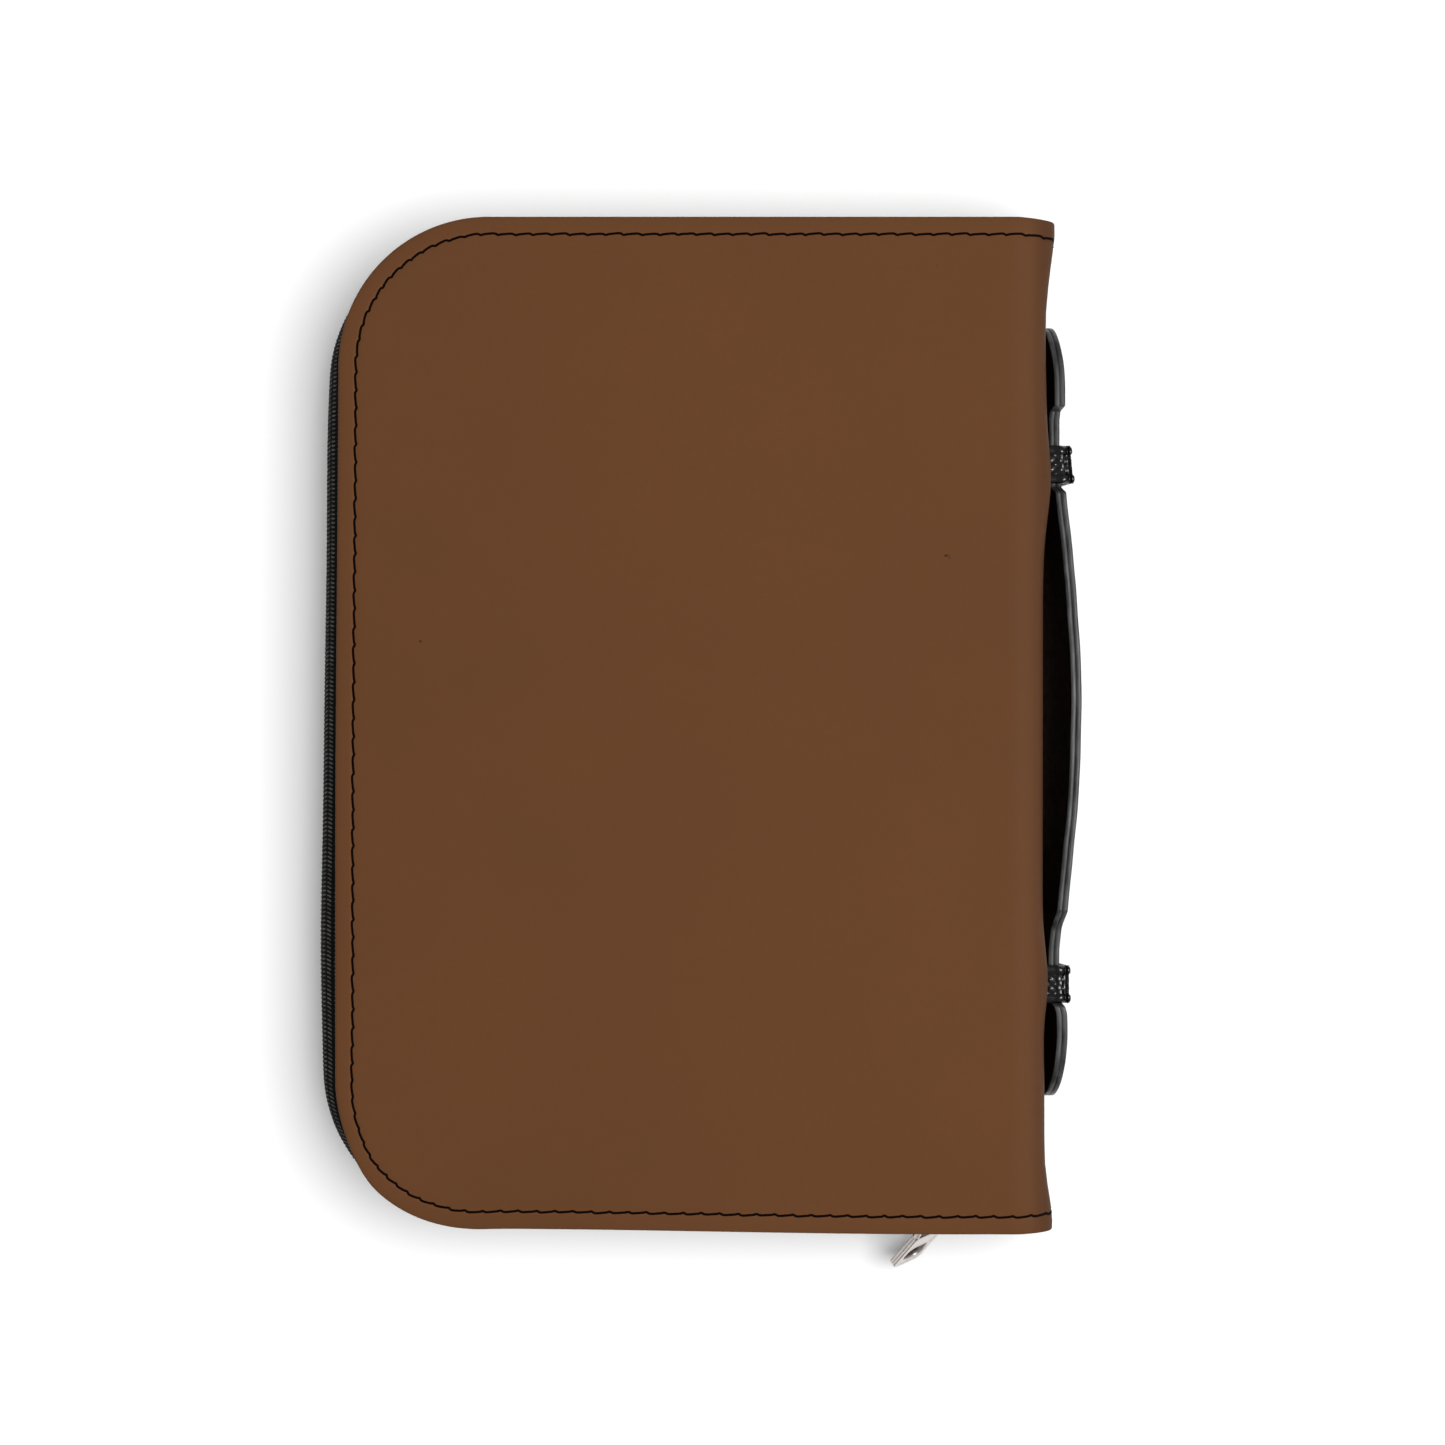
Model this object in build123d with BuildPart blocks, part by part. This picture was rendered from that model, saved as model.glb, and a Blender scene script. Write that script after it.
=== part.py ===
from build123d import *
import os
from math import cos, sin, radians

os.makedirs("parts", exist_ok=True)

# A zippered leather cover with a Bible inside, lying on its back cover. Millimetres.
# +X runs from the fore edge to the spine, +Y from foot to head, +Z up out of the front cover.
# The origin is the centre of the flat back face, on the table.

# Cover
COVER_W = 184.0            # fore edge to spine
COVER_H = 264.0            # foot to head
COVER_T = 45.0             # closed, over both covers
CORNER_R = 39.0            # fore corners
SKIN_T = 1.4               # leather
BOARD_T = 2.0              # stiffener between leather and lining
LINING_T = 0.6
LIP_T = 1.2                # leather turned over the panel's edge
LIP_H = SKIN_T + BOARD_T + LINING_T
FOLD_R = 8.6               # round between a cover panel and the spine

# Zip round the three open sides
TAPE_T = 1.0
TAPE_INSET = 5.0           # tape is sewn this far inside the cover's fore edge
TAPE_Y = 127.5             # outer face of the tape's head and foot walls
TAPE_END_X = 80.0
TAPE_FLANGE = 4.0
FLANGE_T = 0.5
BULGE_X = 97.8             # chain stands out past the fore edge
BULGE_R = 36.0
CHAIN_GAP = 1.5            # between the two rows, in place of meshed teeth
TEETH_H = 2.25
TEETH_T = 2.4
CHAIN_END_X = 76.0
STOP_L = 2.0
STOP_T = 2.8
TEETH_OUT = (TEETH_T - TAPE_T) / 2   # teeth stand out past both faces of the tape

# Bible: 152 x 229 mm leaves between boards
LEAF_X0, LEAF_X1 = -68.5, 83.5
LEAF_Y = 114.5
LEAF_CORNER_R = 6.0
BLOCK_Z0, BLOCK_Z1 = 7.6, 33.8
LEAVES_Z1 = 37.4           # the front leaves lie on the text block
LEAVES_GAP = 0.2
LEAVES_X1 = 82.0
BOOK_BOARD_T = 2.2
BOOK_BOARD_X0, BOOK_BOARD_X1 = -71.0, 82.0
BOOK_BOARD_Y = 117.0
ENDPAPER_T = 0.3
BOOK_SPINE_X0, BOOK_SPINE_X1 = 84.2, 86.6
HEADBAND_R = 1.6

# Sleeves that hold the Bible's boards
SLEEVE_T = 0.6
SLEEVE_WALL = 0.8
SLEEVE_X1 = 30.0
SLEEVE_GAP = 1.0

# Handle, a leather strap that slides in two metal loops on the spine
TILT = 8.0                 # the strap's head-side edge leans outwards
STRAP_LAYER_T = 1.2
STRAP_T = 2 * STRAP_LAYER_T
STRAP_X = 94.45            # inner face of the strap between the loops' legs
STRAP_HALF_W = 13.0
NECK_HALF_W = 8.0
TONGUE_HALF_W = 12.5
STRAP_MID_Y = 4.5          # strap stands this far towards the head at rest
NECK_OUT, NECK_IN = 78.3, 58.9   # neck's ends, measured from the strap's middle
NECK_MID = (NECK_OUT + NECK_IN) / 2
TONGUE_HEAD_L, TONGUE_FOOT_L = 22.9, 25.2
SHOULDER_R = 3.0           # rounds the steps between neck, strap and tongues
STRAP_BOW = 3.7            # the strap's middle stands this far out from its necks
BOW_SHARE = 0.72           # of that, halfway to the necks
LOOP_Y = 68.6
LOOP_W = 10.0
LOOP_CLEAR_W = 1.2
LOOP_CLEAR_T = 1.1
LOOP_METAL = 1.9
LOOP_BASE_T = 0.8
RIVET_R = 1.5
RIVET_HEAD_R = 2.6
RIVET_HEAD_T = 0.25
RIVET_SPACING = 9.0
BACKING_T = 0.6
BACKING_H = 20.0

# Zip slider and pull tab
SLIDER_X = 66.4
SLIDER_L = 12.5
SLIDER_H = 9.0
PLATE_T = 1.4
PLATE_GAP = 3.2            # room between the plates for the chain
NECK_L = 2.2
BAIL_WIRE_R = 0.65
BAIL_X0, BAIL_X1 = -5.8, 4.8     # bail's feet, from the pivot
PIVOT_Y = -132.2
BAIL_Y = PIVOT_Y - 1.75
TAB_DIR = Vector(-0.399, -0.618, -0.678).normalized()
TAB_AXIS_GUESS = Vector(0.744, 0.215, -0.633)
TAB_L = 21.5
TAB_W = 10.5
TAB_T = 2.1
TAB_EYE_T = 1.2
TAB_EYE_L, TAB_EYE_W = 5.2, 8.1
TAB_SHIFT = -0.6           # tab sits off the middle of its crossbar
TAB_WINDOW_L, TAB_WINDOW_W, TAB_WINDOW_R = 6.6, 7.2, 2.4
TAB_WINDOW_X = 15.0
TAB_CORNER_R = 2.4

# Derived
HALF_W, HALF_H, MID_Z = COVER_W / 2, COVER_H / 2, COVER_T / 2
PANEL_X1 = HALF_W - FOLD_R
LIP_Z = COVER_T - LIP_H
MID_PLANE = Plane.XY.offset(MID_Z)
TEETH_Z0 = MID_Z + CHAIN_GAP / 2
TEETH_Z1 = TEETH_Z0 + TEETH_H
BOOK_BOARD_Z = LIP_Z - LEAVES_GAP - BOOK_BOARD_T
SLEEVE_X0 = BOOK_BOARD_X0 - SLEEVE_GAP
SLEEVE_Y = BOOK_BOARD_Y + SLEEVE_GAP
SLEEVE_R = LEAF_CORNER_R + SLEEVE_GAP
BACKING_X = HALF_W - SKIN_T - BOARD_T - BACKING_T
LINING_X = BACKING_X - RIVET_HEAD_T - LINING_T
PLATE_Y = -TAPE_Y + TAPE_T / 2 - PLATE_GAP / 2 - PLATE_T
RIVET_ZS = (MID_Z - RIVET_SPACING / 2, MID_Z + RIVET_SPACING / 2)
RIVET_SPOTS = [(y, z) for y in (LOOP_Y, -LOOP_Y) for z in RIVET_ZS]


def panel(x0, x1, y_half, radius):
    """Panel outline with its two fore corners rounded."""
    with BuildSketch() as outline:
        with Locations(((x0 + x1) / 2, 0)):
            Rectangle(x1 - x0, 2 * y_half)
        fillet(outline.vertices().group_by(Axis.X)[0], radius)
    return outline.sketch


def cover_panel(inset, x1=PANEL_X1):
    """The cover's own outline, drawn in from its three free edges."""
    return panel(-HALF_W + inset, x1, HALF_H - inset, CORNER_R - inset)


def chain_outline(outset):
    """Line of the zip chain round the three sides, moved outwards by outset."""
    return panel(-BULGE_X - outset, HALF_W + 8, TAPE_Y + outset, BULGE_R + outset)


def save(builder, name):
    """Label a finished piece and write its STEP file."""
    builder.part.label = name
    export_step(builder.part, f"parts/{name}.step")


# ---- Front cover: leather, stiffener and lining -------------------------------------
with BuildPart() as front_skin:
    with BuildSketch(Plane.XY.offset(LIP_Z)):
        add(cover_panel(0))
    extrude(amount=LIP_H)
    with BuildSketch(Plane.XY.offset(LIP_Z)):
        add(cover_panel(LIP_T, x1=PANEL_X1 + 1))
    extrude(amount=LIP_H - SKIN_T, mode=Mode.SUBTRACT)
    fillet(front_skin.faces().sort_by(Axis.Z)[-1].edges().filter_by(
        lambda edge: edge.center().X < PANEL_X1 - 1), 1.0)
save(front_skin, "front_skin")

with BuildPart() as front_board:
    with BuildSketch(Plane.XY.offset(LIP_Z + LINING_T)):
        add(cover_panel(LIP_T + 0.1, x1=PANEL_X1 - 1.4))
    extrude(amount=BOARD_T)
save(front_board, "front_board")

with BuildPart() as front_lining:
    with BuildSketch(Plane.XY.offset(LIP_Z)):
        add(cover_panel(LIP_T + 0.1))
    extrude(amount=LINING_T)
save(front_lining, "front_lining")

# ---- Front half of the zip ----------------------------------------------------------
with BuildPart() as front_zip_tape:
    for outset, mode in ((0.0, Mode.ADD), (-TAPE_T, Mode.SUBTRACT)):
        with BuildSketch(Plane.XY.offset(TEETH_Z1)):
            add(chain_outline(outset))
        with BuildSketch(Plane.XY.offset(LIP_Z)):
            add(panel(-HALF_W + TAPE_INSET - outset, HALF_W + 8, TAPE_Y + outset,
                      CORNER_R - TAPE_INSET + outset))
        loft(ruled=True, mode=mode)
    with BuildSketch(Plane.XY.offset(LIP_Z - FLANGE_T)):
        add(panel(-HALF_W + TAPE_INSET, HALF_W + 8, TAPE_Y - 0.2, CORNER_R - TAPE_INSET))
        add(panel(-HALF_W + TAPE_INSET + TAPE_FLANGE, HALF_W + 9, TAPE_Y - TAPE_FLANGE,
                  CORNER_R - TAPE_INSET - TAPE_FLANGE), mode=Mode.SUBTRACT)
    extrude(amount=FLANGE_T)
    split(bisect_by=Plane.YZ.offset(TAPE_END_X), keep=Keep.BOTTOM)
save(front_zip_tape, "front_zip_tape")

with BuildPart() as front_zip_teeth:
    with BuildSketch(Plane.XY.offset(TEETH_Z0)):
        add(chain_outline(TEETH_OUT))
        add(chain_outline(TEETH_OUT - TEETH_T), mode=Mode.SUBTRACT)
    extrude(amount=TEETH_H)
    split(bisect_by=Plane.YZ.offset(CHAIN_END_X), keep=Keep.BOTTOM)
save(front_zip_teeth, "front_zip_teeth")

with BuildPart() as front_zip_stops:
    with BuildSketch(Plane.XY.offset(TEETH_Z0)):
        with Locations(*[(CHAIN_END_X + STOP_L / 2, side * (TAPE_Y - TAPE_T / 2)) for side in (1, -1)]):
            Rectangle(STOP_L, STOP_T)
    extrude(amount=TEETH_H)
save(front_zip_stops, "front_zip_stops")

# ---- Sleeve on the front lining, and the Bible's front board in it ------------------
with BuildPart() as front_sleeve:
    with BuildSketch(Plane.XY.offset(LEAVES_Z1 + LEAVES_GAP)):
        add(panel(SLEEVE_X0 - SLEEVE_WALL, SLEEVE_X1, SLEEVE_Y + SLEEVE_WALL, SLEEVE_R + SLEEVE_WALL))
    extrude(amount=LIP_Z - LEAVES_Z1 - LEAVES_GAP)
    with BuildSketch(Plane.XY.offset(LEAVES_Z1 + LEAVES_GAP + SLEEVE_T)):
        add(panel(SLEEVE_X0, SLEEVE_X1 + 1, SLEEVE_Y, SLEEVE_R))
    extrude(amount=LIP_Z, mode=Mode.SUBTRACT)
save(front_sleeve, "front_sleeve")

with BuildPart() as book_front_board:
    with BuildSketch(Plane.XY.offset(BOOK_BOARD_Z)):
        add(panel(BOOK_BOARD_X0, BOOK_BOARD_X1, BOOK_BOARD_Y, LEAF_CORNER_R))
    extrude(amount=BOOK_BOARD_T)
save(book_front_board, "book_front_board")

with BuildPart() as front_endpaper:
    with BuildSketch(Plane.XY.offset(BOOK_BOARD_Z - ENDPAPER_T)):
        add(panel(LEAF_X0, LEAVES_X1, LEAF_Y, LEAF_CORNER_R))
    extrude(amount=ENDPAPER_T)
save(front_endpaper, "front_endpaper")

# ---- The back cover mirrors the front one -------------------------------------------
with BuildPart() as back_skin:
    mirror(front_skin.part, about=MID_PLANE)
save(back_skin, "back_skin")

with BuildPart() as back_board:
    mirror(front_board.part, about=MID_PLANE)
save(back_board, "back_board")

with BuildPart() as back_lining:
    mirror(front_lining.part, about=MID_PLANE)
save(back_lining, "back_lining")

with BuildPart() as back_zip_tape:
    mirror(front_zip_tape.part, about=MID_PLANE)
save(back_zip_tape, "back_zip_tape")

with BuildPart() as back_zip_teeth:
    mirror(front_zip_teeth.part, about=MID_PLANE)
save(back_zip_teeth, "back_zip_teeth")

with BuildPart() as back_zip_stops:
    mirror(front_zip_stops.part, about=MID_PLANE)
save(back_zip_stops, "back_zip_stops")

with BuildPart() as back_sleeve:
    mirror(front_sleeve.part, about=MID_PLANE)
save(back_sleeve, "back_sleeve")

with BuildPart() as book_back_board:
    mirror(book_front_board.part, about=MID_PLANE)
save(book_back_board, "book_back_board")

with BuildPart() as back_endpaper:
    mirror(front_endpaper.part, about=MID_PLANE)
save(back_endpaper, "back_endpaper")

# ---- Spine: leather with the two folds, stiffener and lining ------------------------
def spine_layer(x_out, thickness, z_inset, y_inset):
    """Flat layer of the spine with its outer face at x_out, and holes for the rivets."""
    with BuildPart() as layer:
        with BuildSketch(Plane.YZ.offset(x_out - thickness)):
            with Locations((0, MID_Z)):
                Rectangle(COVER_H - 2 * y_inset, COVER_T - 2 * FOLD_R - 2 * z_inset)
            with Locations(*RIVET_SPOTS):
                Circle(RIVET_R, mode=Mode.SUBTRACT)
        extrude(amount=thickness)
    return layer


save(spine_layer(HALF_W, SKIN_T, 0, 0), "spine_skin")
save(spine_layer(HALF_W - SKIN_T, BOARD_T, 1.0, 2.0), "spine_board")

with BuildPart() as front_fold:
    with BuildSketch(Plane.XZ.offset(-HALF_H)):
        with Locations((PANEL_X1, COVER_T - FOLD_R)):
            Circle(FOLD_R)
            Circle(FOLD_R - SKIN_T, mode=Mode.SUBTRACT)
            Rectangle(FOLD_R, FOLD_R, align=(Align.MIN, Align.MIN), mode=Mode.INTERSECT)
    extrude(amount=COVER_H)
save(front_fold, "front_fold")

with BuildPart() as back_fold:
    mirror(front_fold.part, about=MID_PLANE)
save(back_fold, "back_fold")


# ---- Handle loops, with their backing plates and rivets -----------------------------
def tilted(out, up):
    """X and Z of a point set out from the strap's inner face, and up along its width."""
    x = STRAP_X + out * cos(radians(TILT)) + up * sin(radians(TILT))
    return x, MID_Z - out * sin(radians(TILT)) + up * cos(radians(TILT))


def loop_profile(out, up, base_x):
    """Four-sided section of a loop: from the flat base at base_x to its tilted bridge."""
    top, foot = tilted(out, up), tilted(out, -up)
    slope = -sin(radians(TILT)) / cos(radians(TILT))
    return [(base_x, foot[1] + (base_x - foot[0]) * slope), foot, top,
            (base_x, top[1] + (base_x - top[0]) * slope)]


def handle_loop(y_mid):
    """Metal loop riveted to the spine, open along Y for the strap."""
    hole_out, hole_up = STRAP_T + LOOP_CLEAR_T, NECK_HALF_W + LOOP_CLEAR_W
    with BuildPart() as loop:
        with BuildSketch(Plane.XZ.offset(-y_mid - LOOP_W / 2)):
            with BuildLine():
                Polyline(*loop_profile(hole_out + LOOP_METAL, hole_up + LOOP_METAL, HALF_W), close=True)
            make_face()
            with BuildLine():
                Polyline(*loop_profile(hole_out, hole_up, HALF_W + LOOP_BASE_T), close=True)
            make_face(mode=Mode.SUBTRACT)
        extrude(amount=LOOP_W)
        fillet(loop.edges().filter_by(Axis.Y).group_by(Axis.X)[-1], 1.2)
        with BuildSketch(Plane.YZ.offset(HALF_W)):
            with Locations(*[spot for spot in RIVET_SPOTS if spot[0] * y_mid > 0]):
                Circle(RIVET_R)
        extrude(amount=LOOP_BASE_T, mode=Mode.SUBTRACT)
    return loop


def backing_plate(y_mid):
    """Steel plate behind the spine's stiffener that the rivets of one loop pull on."""
    with BuildPart() as plate:
        with BuildSketch(Plane.YZ.offset(BACKING_X)):
            with Locations((y_mid, MID_Z)):
                RectangleRounded(LOOP_W, BACKING_H, 1.5)
            with Locations(*[spot for spot in RIVET_SPOTS if spot[0] * y_mid > 0]):
                Circle(RIVET_R, mode=Mode.SUBTRACT)
        extrude(amount=BACKING_T)
    return plate


save(handle_loop(LOOP_Y), "upper_handle_loop")
save(handle_loop(-LOOP_Y), "lower_handle_loop")
save(backing_plate(LOOP_Y), "upper_loop_backing_plate")
save(backing_plate(-LOOP_Y), "lower_loop_backing_plate")

with BuildPart() as handle_loop_rivets:
    with BuildSketch(Plane.YZ.offset(BACKING_X)):
        with Locations(*RIVET_SPOTS):
            Circle(RIVET_R)
    extrude(amount=HALF_W + LOOP_BASE_T - BACKING_X)
    for x0 in (HALF_W + LOOP_BASE_T, BACKING_X - RIVET_HEAD_T):
        with BuildSketch(Plane.YZ.offset(x0)):
            with Locations(*RIVET_SPOTS):
                Circle(RIVET_HEAD_R)
        extrude(amount=RIVET_HEAD_T)
save(handle_loop_rivets, "handle_loop_rivets")

# The lining hangs in front of the plates and rivet heads
with BuildPart() as spine_lining:
    with BuildSketch(Plane.YZ.offset(LINING_X)):
        with Locations((0, MID_Z)):
            Rectangle(COVER_H - 4, COVER_T - 2 * FOLD_R - 2)
    extrude(amount=LINING_T)
save(spine_lining, "spine_lining")

# ---- The Bible: leaves, headbands, spine and joints ---------------------------------
with BuildPart() as text_block:
    with BuildSketch(Plane.XY.offset(BLOCK_Z0)):
        add(panel(LEAF_X0, LEAF_X1, LEAF_Y, LEAF_CORNER_R))
    extrude(amount=BLOCK_Z1 - BLOCK_Z0)
save(text_block, "text_block")

with BuildPart() as front_leaves:
    with BuildSketch(Plane.XY.offset(BLOCK_Z1 + LEAVES_GAP)):
        add(panel(LEAF_X0, LEAVES_X1, LEAF_Y, LEAF_CORNER_R))
    extrude(amount=LEAVES_Z1 - BLOCK_Z1 - LEAVES_GAP)
save(front_leaves, "front_leaves")

with BuildPart() as book_spine:
    with BuildSketch(Plane.YZ.offset(BOOK_SPINE_X0)):
        with Locations((0, MID_Z)):
            Rectangle(2 * BOOK_BOARD_Y, 2 * (BOOK_BOARD_Z + BOOK_BOARD_T - MID_Z))
    extrude(amount=BOOK_SPINE_X1 - BOOK_SPINE_X0)
save(book_spine, "book_spine")


def headband(side):
    """Sewn band along the top or foot of the text block's spine."""
    with BuildPart() as band:
        with BuildSketch(Plane.XY.offset(BLOCK_Z0)):
            with Locations((LEAF_X1 - HEADBAND_R, side * LEAF_Y)):
                Circle(HEADBAND_R)
            with Locations((LEAF_X1 - HEADBAND_R, side * (LEAF_Y - HEADBAND_R))):
                Rectangle(2 * HEADBAND_R, 2 * HEADBAND_R, mode=Mode.SUBTRACT)
        extrude(amount=BLOCK_Z1 - BLOCK_Z0)
    return band


save(headband(1), "headband_top")
save(headband(-1), "headband_bottom")

with BuildPart() as book_front_joint:
    with BuildSketch(Plane.XY.offset(BOOK_BOARD_Z + BOOK_BOARD_T - 1.0)):
        with Locations(((BOOK_BOARD_X1 + BOOK_SPINE_X0) / 2, 0)):
            Rectangle(BOOK_SPINE_X0 - BOOK_BOARD_X1, 2 * BOOK_BOARD_Y)
    extrude(amount=1.0)
save(book_front_joint, "book_front_joint")

with BuildPart() as book_back_joint:
    mirror(book_front_joint.part, about=MID_PLANE)
save(book_back_joint, "book_back_joint")

# ---- Handle strap: two leather layers, sewn together --------------------------------
SIDE_PLANE = Plane(origin=(STRAP_X, STRAP_MID_Y, MID_Z), x_dir=(0, 1, 0),
                   z_dir=(-sin(radians(TILT)), 0, -cos(radians(TILT))))
FACE_PLANE = Plane(origin=(STRAP_X, STRAP_MID_Y, MID_Z), x_dir=(0, 1, 0),
                   z_dir=(cos(radians(TILT)), 0, -sin(radians(TILT))))


def strap_line(out):
    """Points of one face of the strap, seen along its width; out is from the inner face."""
    head, foot = NECK_OUT + TONGUE_HEAD_L, -NECK_OUT - TONGUE_FOOT_L
    return [(foot, out), (-NECK_MID, out), (-NECK_MID / 2, out + BOW_SHARE * STRAP_BOW),
            (0, out + STRAP_BOW), (NECK_MID / 2, out + BOW_SHARE * STRAP_BOW), (NECK_MID, out), (head, out)]


def strap_half(side, tongue):
    """Strap outline from its middle to one tongue's end, as seen from outside."""
    with BuildSketch() as half:
        with Locations((side * NECK_IN / 2, 0)):
            Rectangle(NECK_IN, 2 * STRAP_HALF_W)
        with Locations((side * (NECK_IN + NECK_OUT) / 2, 0)):
            Rectangle(NECK_OUT - NECK_IN, 2 * NECK_HALF_W)
        with Locations((side * (NECK_OUT + tongue / 2), 0)):
            Rectangle(tongue, 2 * TONGUE_HALF_W)
        outer = half.vertices().group_by(Axis.X)[-1 if side > 0 else 0]
        fillet(outer, 0.85 * TONGUE_HALF_W)
        steps = half.vertices().filter_by(lambda v: abs(v.Y) > NECK_HALF_W + 1
                                          and NECK_IN - 1 < abs(v.X) < NECK_OUT + 1)
        fillet(steps, SHOULDER_R)
    return half.sketch


def strap_layer(out):
    """One layer of the strap, its inner face set out from the strap's inner face."""
    with BuildPart() as layer:
        with BuildSketch(SIDE_PLANE):
            with BuildLine():
                inner = Spline(*strap_line(out))
                outer = Spline(*strap_line(out + STRAP_LAYER_T))
                Line(inner @ 0, outer @ 0)
                Line(inner @ 1, outer @ 1)
            make_face()
        extrude(amount=STRAP_HALF_W, both=True)
        with BuildSketch(FACE_PLANE.offset(-3 * STRAP_T)):
            add(strap_half(1, TONGUE_HEAD_L))
            add(strap_half(-1, TONGUE_FOOT_L))
        extrude(amount=8 * STRAP_T, mode=Mode.INTERSECT)
    return layer


save(strap_layer(0), "handle_inner_leather")
save(strap_layer(STRAP_LAYER_T), "handle_outer_leather")

# ---- Zip slider: two plates joined by a neck that passes between the rows -----------
with BuildPart() as zip_slider_body:
    for y0 in (PLATE_Y, PLATE_Y + PLATE_T + PLATE_GAP):
        with BuildSketch(Plane.XZ.offset(-y0 - PLATE_T)):
            with Locations((SLIDER_X, MID_Z)):
                RectangleRounded(SLIDER_L, SLIDER_H, 2.5)
        extrude(amount=PLATE_T)
    with BuildSketch(Plane.XZ.offset(-PLATE_Y - PLATE_T - PLATE_GAP)):
        with Locations((SLIDER_X + SLIDER_L / 2 - NECK_L, MID_Z)):
            Rectangle(NECK_L, 1.0)
    extrude(amount=PLATE_GAP)
save(zip_slider_body, "zip_slider_body")

with BuildPart() as zip_slider_bail:
    with BuildLine(Plane.XY.offset(MID_Z)) as bail_path:
        FilletPolyline((SLIDER_X + BAIL_X0, PLATE_Y), (SLIDER_X + BAIL_X0, BAIL_Y),
                       (SLIDER_X + BAIL_X1, BAIL_Y), (SLIDER_X + BAIL_X1, PLATE_Y), radius=1.6)
    with BuildSketch(Plane(origin=bail_path.line @ 0, z_dir=bail_path.line % 0)):
        Circle(BAIL_WIRE_R)
    sweep(path=bail_path.line)
save(zip_slider_bail, "zip_slider_bail")

# ---- Pull tab: its crossbar turns under the bail ------------------------------------
PIVOT = Vector(SLIDER_X, PIVOT_Y, MID_Z)
TAB_AXIS = (TAB_AXIS_GUESS - TAB_DIR * TAB_AXIS_GUESS.dot(TAB_DIR)).normalized()
TAB_PLANE = Plane(origin=PIVOT, x_dir=TAB_DIR, z_dir=TAB_DIR.cross(TAB_AXIS))
BAR_R = TAB_EYE_T / 2
EYE_X1 = BAR_R + TAB_EYE_L
with BuildPart() as zip_pull_tab:
    with BuildSketch(TAB_PLANE) as tab_face:
        with Locations(((EYE_X1 + TAB_L) / 2, TAB_SHIFT)):
            Rectangle(TAB_L - EYE_X1, TAB_W)
        fillet(tab_face.sketch_local.vertices().group_by(Axis.X)[-1], TAB_CORNER_R)
        with Locations((TAB_WINDOW_X, TAB_SHIFT)):
            RectangleRounded(TAB_WINDOW_L, TAB_WINDOW_W, TAB_WINDOW_R, mode=Mode.SUBTRACT)
    extrude(amount=TAB_T / 2, both=True)
    with BuildSketch(TAB_PLANE):
        with Locations(((EYE_X1 - BAR_R) / 2, TAB_SHIFT)):
            Rectangle(EYE_X1 + BAR_R, TAB_W)
        with Locations(((EYE_X1 + BAR_R) / 2, TAB_SHIFT)):
            Rectangle(TAB_EYE_L, TAB_EYE_W, mode=Mode.SUBTRACT)
    extrude(amount=BAR_R, both=True)
save(zip_pull_tab, "zip_pull_tab")
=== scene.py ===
import math

import bmesh
import bpy
import numpy as np
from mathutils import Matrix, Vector


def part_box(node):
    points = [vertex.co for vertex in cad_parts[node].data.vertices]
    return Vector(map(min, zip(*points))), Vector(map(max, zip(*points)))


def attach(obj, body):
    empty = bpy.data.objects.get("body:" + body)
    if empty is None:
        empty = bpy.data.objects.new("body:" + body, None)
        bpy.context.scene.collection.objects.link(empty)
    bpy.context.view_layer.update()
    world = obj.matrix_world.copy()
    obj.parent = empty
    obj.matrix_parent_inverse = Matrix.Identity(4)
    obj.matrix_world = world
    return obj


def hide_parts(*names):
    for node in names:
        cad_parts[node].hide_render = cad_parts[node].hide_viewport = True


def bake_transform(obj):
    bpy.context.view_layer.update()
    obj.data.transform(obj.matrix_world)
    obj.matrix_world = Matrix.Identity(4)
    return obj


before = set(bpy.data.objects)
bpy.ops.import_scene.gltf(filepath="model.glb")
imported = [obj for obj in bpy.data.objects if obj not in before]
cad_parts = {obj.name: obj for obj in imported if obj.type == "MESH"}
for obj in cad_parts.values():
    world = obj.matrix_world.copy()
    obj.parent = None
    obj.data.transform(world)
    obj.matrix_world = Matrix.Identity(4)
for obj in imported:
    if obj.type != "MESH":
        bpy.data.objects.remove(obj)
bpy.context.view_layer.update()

# Looks of the zippered Bible. Lengths here are millimetres, turned to metres when a mesh is made.
# +X runs from the fore edge to the spine, +Y from foot to head, +Z up out of the front cover.
MM = 0.001


def box_mm(node):
    """Lowest and highest corner of a CAD node, in millimetres."""
    low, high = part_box(node)
    return np.array(low) / MM, np.array(high) / MM


# ---- Sizes taken from the CAD parts -------------------------------------------------
SKIN_LO, SKIN_HI = box_mm("front_skin")
SPINE_HI = box_mm("spine_skin")[1]
LEFT, FOLD_X, HALF_H, TOP = SKIN_LO[0], SKIN_HI[0], SKIN_HI[1], SKIN_HI[2]
RIGHT, FOLD_Z = SPINE_HI[0], SPINE_HI[2]
MID = TOP / 2
FOLD_R = RIGHT - FOLD_X
PANEL_T = TOP - SKIN_LO[2]
CORNER_R = 39.0
CORNER_X, CORNER_Y = LEFT + CORNER_R, HALF_H - CORNER_R
SPINE_T = RIGHT - box_mm("spine_lining")[0][0]
FOLD_T = 2.6

STITCH_INSET = 4.7
STITCH_PITCH, CORNER_PITCH = 4.75, 3.4
THREAD_R = 0.31
LINING_T = 0.3

TAPE_LO, TAPE_HI = box_mm("front_zip_tape")
TEETH_TOP = box_mm("front_zip_teeth")[1][2]
CHAIN_X, CHAIN_Y, CHAIN_R = TAPE_LO[0], TAPE_HI[1], 36.0
TAPE_TOP_INSET = 5.0
RIB_PITCH = 1.12
TOOTH_PITCH = 2.6


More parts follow.
